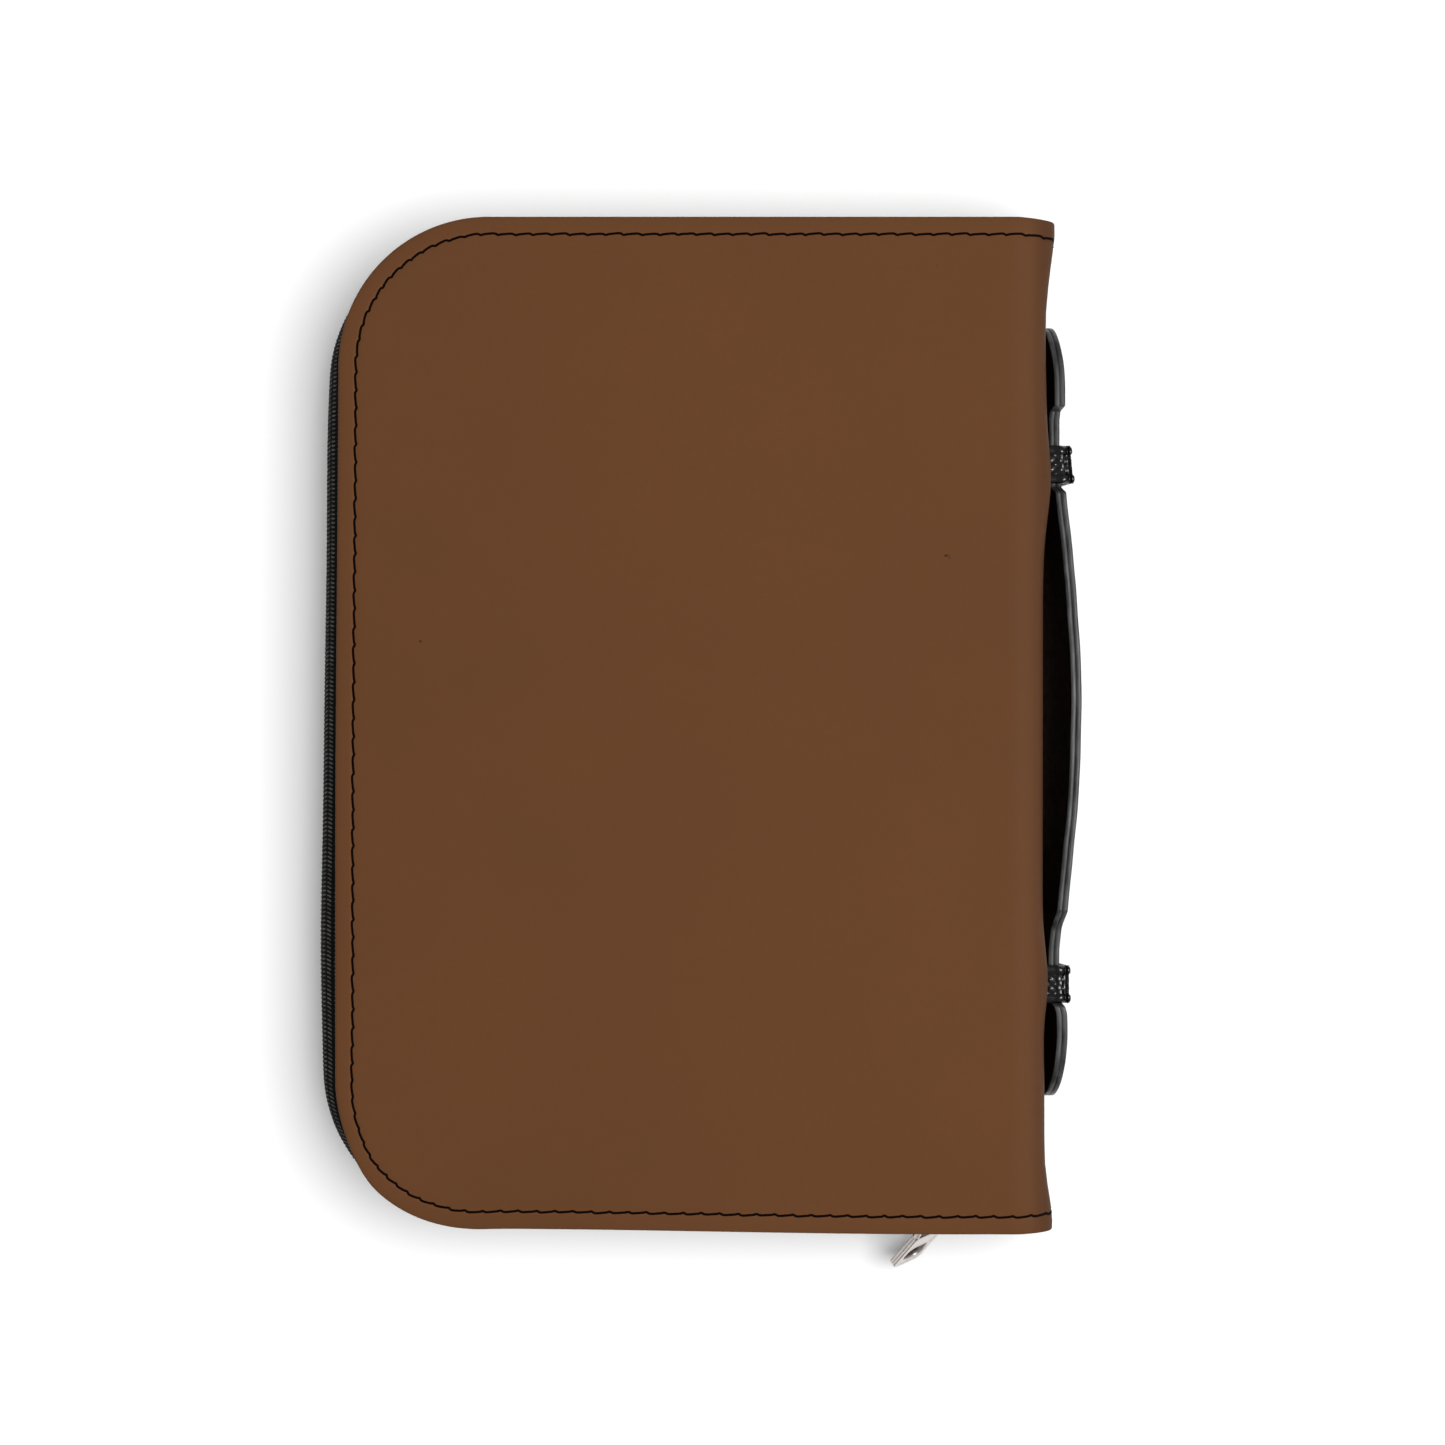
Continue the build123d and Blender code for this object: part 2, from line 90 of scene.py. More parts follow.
# ---- Mesh helpers -------------------------------------------------------------------
def steps(a, b, step):
    """Even steps from a to b, both ends included, about step apart."""
    return np.linspace(a, b, max(2, int(round(abs(b - a) / step)) + 1))


def smooth(x):
    """0 below 0, 1 above 1, smooth between."""
    x = np.clip(x, 0, 1)
    return x * x * (3 - 2 * x)


def bump(x, width):
    """Bell curve of height 1."""
    return np.exp(-(np.asarray(x) / width) ** 2)


def circle(count):
    """Angles of points spread evenly round a circle."""
    return np.arange(count) * 2 * math.pi / count


def squarish(angle, power):
    """Cosine and sine bent towards a square: the smaller the power, the squarer."""
    return [np.sign(part) * np.abs(part) ** power for part in (np.cos(angle), np.sin(angle))]


def unit(vectors):
    """Vectors cut or stretched to length 1."""
    return vectors / np.linalg.norm(vectors, axis=-1, keepdims=True)


def split_run(s, runs):
    """Distance from the head end, shared out over the runs of half an outline that the foot mirrors.
    Gives the side, 1 at the head and -1 at the foot, and how far each run has come."""
    s = np.asarray(s, float)
    side = np.where(s > sum(runs), -1.0, 1.0)
    left = np.minimum(s, 2 * sum(runs) - s)
    parts = []
    for run in runs:
        parts.append(np.clip(left, 0, run))
        left = left - run
    return side, parts


def run_along(path):
    """Distance from a path's start to each of its points."""
    return np.concatenate([[0], np.cumsum(np.linalg.norm(np.diff(path, axis=0), axis=1))])


def level(ring, z):
    """Ring of X and Y lifted to a height."""
    return np.concatenate([ring, np.full((len(ring), 1), float(z))], 1)


def quads(index, close_rows=False, close_cols=False):
    """Faces of a grid of vertex indices."""
    grid = np.asarray(index)
    if close_rows:
        grid = np.concatenate([grid, grid[:1]], 0)
    if close_cols:
        grid = np.concatenate([grid, grid[:, :1]], 1)
    faces = np.stack([grid[:-1, :-1], grid[1:, :-1], grid[1:, 1:], grid[:-1, 1:]], -1)
    return [tuple(f) for f in faces.reshape(-1, 4)]


def mirrored(points):
    """Front cover points turned into back cover points."""
    turned = np.array(points, float)
    turned[..., 2] = TOP - turned[..., 2]
    return turned


HALVES = (("front", np.array), ("back", mirrored))


def sharpen(piece, angle):
    """Keeps edges sharper than angle, in degrees, crisp under smooth shading."""
    work = bmesh.new()
    work.from_mesh(piece.data)
    for edge in work.edges:
        if len(edge.link_faces) == 2 and edge.calc_face_angle(0) > math.radians(angle):
            edge.smooth = False
    work.to_mesh(piece.data)
    work.free()


class Shape:
    """Collects grids and loose faces, then welds them into one mesh."""

    def __init__(self):
        self.points, self.faces, self.slots, self.values = [], [], [], []
        self.count = 0

    def add(self, points, value=0.0):
        """Adds points of any grid shape and returns their indices in that shape."""
        points = np.asarray(points, float)
        flat = points.reshape(-1, 3)
        self.points.append(flat)
        self.values.append(np.broadcast_to(np.asarray(value, float), points.shape[:-1]).reshape(-1))
        index = np.arange(self.count, self.count + len(flat)).reshape(points.shape[:-1])
        self.count += len(flat)
        return index

    def skin(self, faces, slot=0):
        """Adds faces with one material slot."""
        self.faces += [tuple(int(i) for i in f) for f in faces]
        self.slots += [slot] * len(faces)

    def grid(self, points, slot=0, close_rows=False, close_cols=False, value=0.0):
        """Adds a grid of points with its faces."""
        index = self.add(points, value)
        self.skin(quads(index, close_rows, close_cols), slot)
        return index

    def cap(self, index, slot=0):
        """Closes both ends of a tube of rings."""
        self.skin([tuple(index[0][::-1]), tuple(index[-1])], slot)

    def tube(self, rings, slot=0, cap_slot=None, value=0.0):
        """Adds rings of points as a closed tube with flat ends."""
        index = self.grid(rings, slot, close_cols=True, value=value)
        self.cap(index, slot if cap_slot is None else cap_slot)

    def banded_tube(self, rings, second):
        """Tube whose columns marked in second, and its ends, take the second material."""
        index = self.add(rings)
        faces = np.array(quads(index, close_cols=True)).reshape(len(index) - 1, -1, 4)
        for slot, columns in enumerate((~second, second)):
            self.skin(faces[:, columns].reshape(-1, 4), slot)
        self.cap(index, 1)

    def build(self, name, *materials, value_name="", flip_check=True, weld=1e-4, crisp=0):
        """Makes the object. Points closer than weld are one; edges over crisp degrees stay sharp."""
        points = np.concatenate(self.points)
        values = np.concatenate(self.values)
        first = back = np.arange(len(points))
        if weld:
            key = np.round(points / weld).astype(np.int64)
            _, first, back = np.unique(key, axis=0, return_index=True, return_inverse=True)
            back = back.reshape(-1)
        faces, slots = [], []
        for face, slot in zip(self.faces, self.slots):
            new = []
            for j in back[list(face)].tolist():
                if not new or j != new[-1]:
                    new.append(j)
            if len(new) > 1 and new[0] == new[-1]:
                new.pop()
            if len(set(new)) == len(new) and len(new) > 2:
                faces.append(new)
                slots.append(slot)
        mesh = bpy.data.meshes.new(name)
        mesh.from_pydata((points[first] * MM).tolist(), [], faces)
        for material in materials:
            mesh.materials.append(material)
        mesh.polygons.foreach_set("material_index", slots[:len(mesh.polygons)])
        mesh.polygons.foreach_set("use_smooth", [True] * len(mesh.polygons))
        if value_name:
            attribute = mesh.attributes.new(value_name, "FLOAT", "POINT")
            attribute.data.foreach_set("value", values[first].astype(np.float32))
        mesh.update()
        if flip_check:
            work = bmesh.new()
            work.from_mesh(mesh)
            bmesh.ops.recalc_face_normals(work, faces=work.faces)
            work.to_mesh(mesh)
            work.free()
        piece = bpy.data.objects.new(name, mesh)
        bpy.context.scene.collection.objects.link(piece)
        if crisp:
            sharpen(piece, crisp)
        return piece


def tube_of(rings, *slots):
    """Shape made of one closed tube."""
    shape = Shape()
    shape.tube(np.asarray(rings), *slots)
    return shape


def place(piece, body, slot, *nodes):
    """Rides a piece on its body and hides the CAD nodes it stands for. slot is not used."""
    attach(piece, body)
    if nodes:
        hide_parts(*nodes)
    return piece


# ---- Materials ----------------------------------------------------------------------
def linear(red, green, blue):
    """Linear colour of an 8-bit screen colour."""
    values = [c / 255 for c in (red, green, blue)]
    return tuple(c / 12.92 if c <= 0.04045 else ((c + 0.055) / 1.055) ** 2.4 for c in values) + (1.0,)


class Finish:
    """A node material under construction."""

    def __init__(self, name, colour, roughness, metallic=0.0, specular=0.5):
        self.material = bpy.data.materials.new(name)
        self.material.use_nodes = True
        self.material.diffuse_color = colour
        self.nodes = self.material.node_tree.nodes
        self.links = self.material.node_tree.links
        self.shader = self.nodes["Principled BSDF"]
        self.set("Base Color", colour)
        self.set("Roughness", roughness)
        self.set("Metallic", metallic)
        self.set("Specular IOR Level", specular)
        self.place = self.nodes.new("ShaderNodeTexCoord").outputs["Object"]
        self.textures = {}

    def set(self, key, value, node=None):
        """Sets an input of a node, or of the shader, to a constant or to an earlier output."""
        socket = (node or self.shader).inputs[key]
        if isinstance(value, bpy.types.NodeSocket):
            self.links.new(value, socket)
        else:
            socket.default_value = value

    def node(self, kind, inputs):
        """New node with its inputs set."""
        node = self.nodes.new("ShaderNode" + kind)
        for key, value in inputs.items():
            self.set(key, value, node)
        return node

    def texture(self, kind, scale, **inputs):
        """Texture node on object coordinates scaled to the texture's own size."""
        scale = scale if isinstance(scale, tuple) else (scale,) * 3
        mapping = self.node("Mapping", {"Scale": scale, "Vector": self.place})
        return self.node("Tex" + kind, dict(inputs, Scale=1.0, Vector=mapping.outputs["Vector"]))

    def noise(self, scale, detail=3.0):
        """Cloudy noise."""
        return self.texture("Noise", scale, Detail=detail, Roughness=0.55).outputs["Fac"]

    def cells(self, scale, feature="DISTANCE_TO_EDGE"):
        """Pebbled cells, like a leather's grain."""
        node = self.texture("Voronoi", scale)
        node.feature = feature
        return node.outputs["Distance"]

    def wave(self, scale, distortion=0.0, direction="X", profile="SIN"):
        """Bands along one direction."""
        node = self.texture("Wave", scale, Distortion=distortion)
        node.bands_direction = direction
        node.wave_profile = profile
        return node.outputs["Fac"]

    def drawn(self, kind, *numbers):
        """The texture of a kind and its numbers, made once and then shared."""
        if (kind, numbers) not in self.textures:
            make = {"noise": self.noise, "cells": self.cells, "wave": self.wave}[kind]
            self.textures[kind, numbers] = make(*numbers)
        return self.textures[kind, numbers]

    def attribute(self, name):
        """A value kept on the mesh's points."""
        node = self.node("Attribute", {})
        node.attribute_name = name
        return node.outputs["Fac"]

    def across(self):
        """Object X, from the fore edge to the spine."""
        return self.node("SeparateXYZ", {"Vector": self.place}).outputs["X"]

    def ranged(self, value, low, high, new_low=0.0, new_high=1.0):
        """A value stretched from one range to another."""
        numbers = {"From Min": low, "From Max": high, "To Min": new_low, "To Max": new_high}
        return self.node("MapRange", dict(numbers, Value=value)).outputs["Result"]

    def maths(self, operation, a, b):
        """Sum, product and the like of two values."""
        node = self.node("Math", {0: a, 1: b})
        node.operation = operation
        return node.outputs["Value"]

    def tint(self, factor, colour_a, colour_b):
        """Mix of two colours, or of a colour and an earlier mix."""
        node = self.node("Mix", {0: factor, 6: colour_a, 7: colour_b})
        node.data_type = "RGBA"
        return node.outputs[2]

    def gloss(self, value, low, high):
        """Roughness that follows a texture."""
        self.set("Roughness", self.ranged(value, 0.2, 0.8, low, high))

    def relief(self, *layers):
        """Bump from (texture, strength, height in mm) layers, one upon another."""
        under = {}
        for value, strength, height in layers:
            inputs = dict(under, Strength=strength, Distance=height * MM, Height=value)
            under = {"Normal": self.node("Bump", inputs).outputs["Normal"]}
        self.set("Normal", under["Normal"])


def scaled(colour, factor):
    """A colour made lighter or darker."""
    return tuple(min(1.0, c * factor) for c in colour[:3]) + (1.0,)


def cover_leather():
    """Smooth brown leather: broad mottling, fine grain, a few specks, a painted pale halo beside the
    stitches and painted shade over the fold.
    """
    base = linear(85, 54, 32)
    finish = Finish("cover_leather", base, 0.62, specular=0.07)
    broad, fine, specks = finish.noise(14, 4), finish.noise(900, 3), finish.noise(260, 2)
    colour = finish.tint(finish.ranged(broad, 0.3, 0.7), scaled(base, 0.955), scaled(base, 1.05))
    colour = finish.tint(finish.ranged(fine, 0.35, 0.65, 0.0, 0.35), colour, scaled(base, 0.93))
    colour = finish.tint(finish.ranged(specks, 0.80, 0.84), colour, scaled(base, 0.35))
    # Painted highlight: a pale halo along both sides of the stitch line.
    inset = finish.attribute("inset")
    beside = finish.maths("ABSOLUTE", finish.maths("SUBTRACT", inset, STITCH_INSET), 0)
    colour = finish.tint(finish.ranged(beside, 0.3, 1.1, 0.45, 0.0), colour, scaled(base, 1.3))
    # Painted shade: the colour darkens over the fold, where the cover turns down towards the spine and away
    # from the light.
    colour = finish.tint(finish.ranged(finish.across(), 0.0885, 0.0925), colour, scaled(base, 0.76))
    finish.set("Base Color", colour)
    finish.gloss(finish.noise(500, 2), 0.54, 0.66)
    finish.relief((finish.noise(60, 3), 0.25, 0.12), (finish.cells(1900), 0.22, 0.035),
                  (finish.noise(3800, 2), 0.2, 0.02))
    return finish.material


def woven(name, dark, light, scale):
    """Plain woven cloth with warp and weft ridges."""
    finish = Finish(name, dark, 0.85, specular=0.25)
    weave = finish.maths("MAXIMUM", finish.wave(scale, 0.4, "X"), finish.wave(scale, 0.4, "Y"))
    shade = finish.maths("MULTIPLY", weave, finish.noise(300, 3))
    finish.set("Base Color", finish.tint(shade, dark, light))
    finish.set("Sheen Weight", 0.15)
    finish.set("Sheen Roughness", 0.6)
    finish.relief((weave, 0.7, 0.06), (finish.noise(5000, 2), 0.3, 0.03))
    return finish.material


def zip_cloth():
    """Black tape cloth whose rib crests carry a painted highlight, broken up by fibre noise."""
    dark, light = linear(3, 3, 3), linear(128, 126, 122)
    finish = Finish("zip_tape_cloth", dark, 0.85, specular=0.06)
    fray = finish.noise(1500, 3)
    crest = finish.ranged(finish.attribute("rib"), 0.45, 1.0)
    # Painted highlight: pale colour on the rib crests, where the ribs catch the light.
    rib_highlight = finish.maths("MULTIPLY", crest, finish.ranged(fray, 0.25, 0.7, 0.35, 1.0))
    finish.set("Base Color", finish.tint(rib_highlight, dark, light))
    finish.relief((fray, 0.6, 0.08), (finish.noise(6000, 2), 0.4, 0.03))
    return finish.material


def page_edges():
    """Cut edges of many sheets: fine lines along the block, with painted shade in the gaps between the
    sheets.
    """
    finish = Finish("page_edges", linear(196, 186, 160), 0.75, specular=0.3)
    lines = finish.wave((0.0, 0.0, 3300.0), 1.2, "Z", "SAW")
    leaves = finish.noise((25, 25, 4200), 4)
    # Painted shade: darker colour in the gaps between the sheets.
    leaf_gap_shade = finish.maths("MULTIPLY", lines, leaves)
    finish.set("Base Color", finish.tint(leaf_gap_shade, linear(216, 207, 184), linear(150, 136, 108)))
    finish.relief((leaves, 0.8, 0.08), (lines, 0.4, 0.05))
    return finish.material


def simple(name, base, roughness, colours=(), mix=(), spread=(), gloss=(), relief=(), sheen=0.0, **shader):
    """Finish whose colour follows one texture, mix, between two colours. A texture is its kind and numbers.

    spread is the part of the texture that is used. gloss is (texture, low, high), and relief is made of
    (texture, strength, height in mm) layers."""
    finish = Finish(name, base, roughness, **shader)
    if mix:
        factor = finish.drawn(*mix)
        factor = finish.ranged(factor, *spread) if spread else factor
        finish.set("Base Color", finish.tint(factor, *colours))
    if sheen:
        finish.set("Sheen Weight", sheen)
    if gloss:
        finish.gloss(finish.drawn(*gloss[0]), *gloss[1:])
    if relief:
        finish.relief(*[(finish.drawn(*texture), *size) for texture, *size in relief])
    return finish.material


NICKEL_BASE = (0.60, 0.555, 0.53, 1.0)
STREAKS, FIBRES, PEBBLES = ("noise", (500, 90, 500), 4), ("noise", (260, 900, 260), 4), ("cells", 620, "F1")
LEATHER = cover_leather()
LINING = woven("lining_cloth", linear(24, 23, 23), linear(50, 48, 47), 1500)
SLEEVE = woven("sleeve_cloth", linear(30, 28, 28), linear(62, 59, 57), 1000)
TAPE = zip_cloth()
PAGE_EDGE = page_edges()
THREAD = simple("black_thread", linear(6, 2, 2), 0.8, (linear(3, 1, 1), linear(13, 6, 6)),
                ("noise", 2500, 2), relief=[(("wave", 2600, 1.5, "DIAGONAL"), 0.6, 0.05)], specular=0.04)
TEETH = simple("zip_teeth_plastic", linear(12, 12, 13), 0.38, gloss=(("noise", 900, 2), 0.32, 0.46),
               relief=[(("noise", 3000, 2), 0.2, 0.02)], specular=0.3)
ENAMEL = simple("black_enamel", linear(4, 4, 4), 0.2, gloss=(("noise", 700, 3), 0.17, 0.30),
                relief=[(("noise", 900, 2), 0.25, 0.03)], specular=0.45)
HANDLE = simple("handle_leather", linear(3, 3, 3), 0.5, (linear(3, 3, 3), linear(9, 9, 10)),
                ("noise", 350, 4), gloss=(("noise", 450, 3), 0.36, 0.55), specular=0.14,
                relief=[(("cells", 1100), 0.45, 0.07), (("noise", 2600, 3), 0.3, 0.03)])
# Strap edges: the edge paint's own dark tone plus a painted highlight, with lighter grey streaks standing
# in for the lamps' reflections on the rounded edges.
EDGE = simple("edge_paint_and_highlight", linear(24, 24, 24), 0.4, (linear(24, 24, 24), linear(62, 62, 63)), STREAKS,
              (0.35, 0.65), (("noise", (900, 160, 900), 3), 0.3, 0.5), specular=0.3,
              relief=[(STREAKS, 0.5, 0.12), (("noise", 1500, 3), 0.4, 0.05)])
NICKEL = simple("nickel_plate", NICKEL_BASE, 0.3, (scaled(NICKEL_BASE, 0.82), scaled(NICKEL_BASE, 1.12)),
                ("noise", 400, 4), gloss=(("noise", (1200, 1200, 300), 4), 0.22, 0.42), metallic=1.0,
                relief=[(("noise", 1400, 3), 0.25, 0.03)])
STEEL = simple("pressed_steel", (0.5, 0.5, 0.5, 1.0), 0.4, gloss=(("noise", (200, 3000, 200), 3), 0.3, 0.5),
               metallic=1.0)
BOARD = simple("grey_board", linear(44, 41, 38), 0.9, (linear(44, 41, 38), linear(66, 62, 57)),
               ("noise", (700, 700, 2500), 4), relief=[(("noise", 1600, 4), 0.5, 0.08)], specular=0.2)
PAPER = simple("page_paper", linear(216, 207, 184), 0.8, (linear(190, 182, 160), linear(200, 192, 172)),
               ("noise", 60, 3), relief=[(("noise", 2500, 3), 0.15, 0.02)], specular=0.15)
ENDPAPER = simple("endpaper", linear(205, 192, 164), 0.75, (linear(176, 160, 130), linear(205, 192, 164)),
                  FIBRES, (0.35, 0.65), relief=[(("noise", 1800, 3), 0.3, 0.03)], specular=0.25)
BOOK = simple("book_leather", linear(26, 22, 21), 0.5, (linear(44, 38, 36), linear(26, 22, 21)), PEBBLES,
              (0.1, 0.7), (("noise", 500, 3), 0.42, 0.58), specular=0.4,
              relief=[(PEBBLES, 0.6, 0.12), (("noise", 3000, 2), 0.2, 0.02)])
SILK = simple("headband_silk", linear(196, 164, 96), 0.45, (linear(196, 164, 96), linear(120, 24, 24)),
              ("wave", (0.0, 0.0, 620.0), 0.0, "Z", "TRI"), sheen=0.2, specular=0.4,
              relief=[(("wave", (0.0, 0.0, 1800.0), 0.0, "Z"), 0.7, 0.1)])


# ---- Leather cover: one skin over a panel, its fold and half of the spine -----------
SPINE_RUN = FOLD_Z - MID
FOLD_RUN = FOLD_R * math.pi / 2
HEAD_RUN = FOLD_X - CORNER_X
CORNER_RUN = (CORNER_R - STITCH_INSET) * math.pi / 2
RAIL_RUNS = (SPINE_RUN, FOLD_RUN, HEAD_RUN, CORNER_RUN, CORNER_Y)
HALF_RAIL = sum(RAIL_RUNS)
SKIN_STEP = 1.25
# Rows of the shell, by inset from the free edge: over the face, round the edge, and back under it.
# A RIM row is an inset and a share of the thickness.
FLAT_INSETS = (39, 31, 24, 17.5, 12.5, 9.5, 7.6, 6.5, 5.9, 5.4, 5.05, 4.7, 4.35, 4.0, 3.5, 2.8, 2.2, 1.8)
RIM = ((0.6, 0.01), (0.34, 0.035), (0.14, 0.09), (0.04, 0.16), (0.0, 0.27), (0.0, 0.62), (0.15, 0.78),
       (0.42, 0.9), (0.8, 0.97), (1.3, 1.0), (2.4, 1.0))
INNER_INSETS = (2.6, 4.5, 7, 12.5, 22, 39)
INNER_SHARE = 1 - LINING_T / PANEL_T


def rail(s):
    """The cover's free edge by distance along the stitching, from the middle of the spine's head hem to its
    foot hem: the point CORNER_R inside the edge, the way out to it, and the leather's way up."""
    side, (up, bend, along, turn, down) = split_run(s, RAIL_RUNS)
    bend = bend / FOLD_R
    turn = turn / (CORNER_R - STITCH_INSET)
    centre = np.stack([FOLD_X + FOLD_R * np.cos(bend) - along, side * (CORNER_Y - down),
                       MID + up + FOLD_R * np.sin(bend)], -1)
    out = np.stack([-np.sin(turn), side * np.cos(turn), 0 * turn], -1)
    normal = np.stack([np.cos(bend), 0 * bend, np.sin(bend)], -1)
    return centre, out, normal


def skin_thickness(s):
    """Leather, board and lining together: thick on the spine and the panel, thin in the fold between."""
    t = np.minimum(s, 2 * HALF_RAIL - np.asarray(s, float))
    spine_t = SPINE_T - 0.3
    into_fold = smooth((t - SPINE_RUN + 2) / 3)
    out_of_fold = smooth((t - SPINE_RUN - FOLD_RUN + 2) / 3.5)
    return spine_t + (FOLD_T - spine_t) * into_fold + (PANEL_T - FOLD_T) * out_of_fold


def spine_shape(y, z):
    """How far the spine's leather stands out of its plain flat: flared hems, and swells at the loops."""
    end = np.where(y > 0, 4.9 * smooth((y - 104) / 29), 4.1 * smooth((-y - 111) / 20))
    down = np.clip((TOP - z) / (TOP - MID) * 1.12, 0, 1)
    flare = end * (1 - (1 - down) ** 1.3)
    swell = 0.45 + 0.8 * smooth((y - 70) / 20) + 0.5 * smooth((-y - 75) / 20)
    swell = swell + 2.2 * bump(y - 65, 15) + 1.45 * bump(y + 67, 11)
    return flare + swell * bump(z - 38.5, 5.5)


def stitch_count(s):
    """Stitches sewn by a distance along the edge. They are shorter round the fore corners."""
    at = np.linspace(0, 2 * HALF_RAIL, 600)
    corner = HALF_RAIL - CORNER_Y - CORNER_RUN / 2
    near = bump(at - corner, 22) + bump(at - 2 * HALF_RAIL + corner, 22)
    density = 1 / (STITCH_PITCH + (CORNER_PITCH - STITCH_PITCH) * near)
    count = np.concatenate([[0], np.cumsum((density[1:] + density[:-1]) / 2 * np.diff(at))])
    return np.interp(s, at, count)


def worn(base, normal, s, inset, depth):
    """Where a point of the plain cover lies on the real one: sewn in at the stitches, soft between."""
    x, y, z = base[..., 0], base[..., 1], base[..., 2]
    stitch = 0.5 + 0.5 * np.cos(2 * math.pi * stitch_count(s))
    lift = -(0.22 + 0.12 * stitch) * bump(inset - STITCH_INSET, 0.55)
    lift = lift + 0.05 * bump(inset - 2.7, 1.1) + 0.05 * bump(inset - 7.2, 2.0)
    lift = lift + 0.03 * bump(inset - 2.5, 2) * np.sin(s / 7.3 + 2 * np.sin(s / 31))
    soft = 0.05 * np.sin(x / 17 + 1.3) * np.cos(y / 23) + 0.04 * np.sin(x / 41 - y / 37 + 0.6)
    lift = (lift + soft * smooth((inset - 6) / 12)) * np.clip(1 - depth / 1.5, 0, 1)
    moved = base + normal * (lift - depth)[..., None]
    fore = smooth((-x + 30) / 100)
    foot = smooth((-y - 40) / 80)
    moved[..., 0] += fore * (-0.3 + 0.85 * smooth((y + 40) / 150)) * np.where(normal[..., 0] > 0.01, 0, 1)
    moved[..., 0] += normal[..., 0] ** 0.5 * spine_shape(y, z)
    moved[..., 1] += foot * (0.9 - 1.5 * smooth((x + 60) / 130))
    moved[..., 1] -= 0.4 * smooth((y - 100) / 30) * normal[..., 0] ** 2
    corner = smooth((-x - 45) / 35) * smooth((-y - 70) / 40)
    moved[..., 0] -= 1.35 * corner * smooth((92 + x) / 12)
    moved[..., 1] -= 1.0 * corner * smooth((92 + x) / 12)
    return moved


def leather_point(s, inset, depth):
    """Points of the border, at a distance along the edge, an inset from it and a depth under the face."""
    s, inset, depth = np.broadcast_arrays(*(np.asarray(v, float) for v in (s, inset, depth)))
    centre, out, normal = rail(s)
    return worn(centre + out * (CORNER_R - inset)[..., None], normal, s, inset, depth), normal


def cover_skin(name, turn):
    """Closed leather shell of one cover half. turn maps front points to this cover's."""
    head = np.concatenate([steps(0, SPINE_RUN, SKIN_STEP), SPINE_RUN + steps(0, FOLD_RUN, 0.9)[1:],
                           SPINE_RUN + FOLD_RUN + steps(0, HEAD_RUN, SKIN_STEP)[1:]])
    fore = head[-1] + CORNER_RUN + steps(0, 2 * CORNER_Y, SKIN_STEP)
    corner = head[-1] + steps(0, CORNER_RUN, SKIN_STEP)[1:-1]
    s = np.concatenate([head, corner, fore, (2 * HALF_RAIL - corner)[::-1], (2 * HALF_RAIL - head)[::-1]])
    thick = skin_thickness(s)[:, None]
    rows = [(u, 0.0) for u in FLAT_INSETS] + list(RIM) + [(u, INNER_SHARE) for u in INNER_INSETS]
    inset, share = (np.array(column)[None, :] for column in zip(*rows))
    border, _ = leather_point(s[:, None], inset, share * thick)
    shape = Shape()
    edge = shape.add(turn(border), np.broadcast_to(inset, border.shape[:-1]))
    split = len(FLAT_INSETS) + len(RIM) + 1
    shape.skin(quads(edge[:, :split]))
    shape.skin(quads(edge[:, split - 1:]), 1)
    y = CORNER_Y - (fore - fore[0])
    centre, _, normal = rail(head)
    base = np.repeat(centre[:, None], len(y), 1)
    base[..., 1] = y
    normal = np.repeat(normal[:, None], len(y), 1)
    far = np.full(base.shape[:-1], FLAT_INSETS[0], float)
    outer = shape.grid(turn(worn(base, normal, head[:, None] + 0 * far, far, 0 * far)), value=far)
    hinge = int(np.searchsorted(head, SPINE_RUN + FOLD_RUN + 3)) + 1
    deep = INNER_SHARE * skin_thickness(head[:hinge])[:, None] + 0 * far[:hinge]
    under = worn(base[:hinge], normal[:hinge], head[:hinge, None] + 0 * deep, far[:hinge], deep)
    inner = shape.grid(turn(under), 1, value=far[:hinge])
    shape.skin(np.stack([outer[0, :-1], outer[0, 1:], inner[0, 1:], inner[0, :-1]], -1))
    shape.skin([tuple(edge[0]), tuple(edge[-1][::-1])])
    n, k = len(head), len(corner)
    ring = list(inner[-1]) + list(edge[::-1, -1][hinge:n]) + list(edge[::-1, -1][n + k:n + k + len(fore)])
    ring += list(edge[hinge - 1:n, -1])[::-1]
    shape.skin([tuple(ring)], 1)
    return shape.build(name, LEATHER, LINING, value_name="inset", weld=1e-3, crisp=50)


def thread(line, across, up, radius, around, flat=1.0):
    """Rings of a round strand along a line, flattened by a factor in its up direction."""
    angle = circle(around)[None, :, None]
    radius = np.broadcast_to(radius, len(line))[:, None, None]
    return line[:, None] + radius * (np.cos(angle) * across[:, None] + flat * np.sin(angle) * up[:, None])


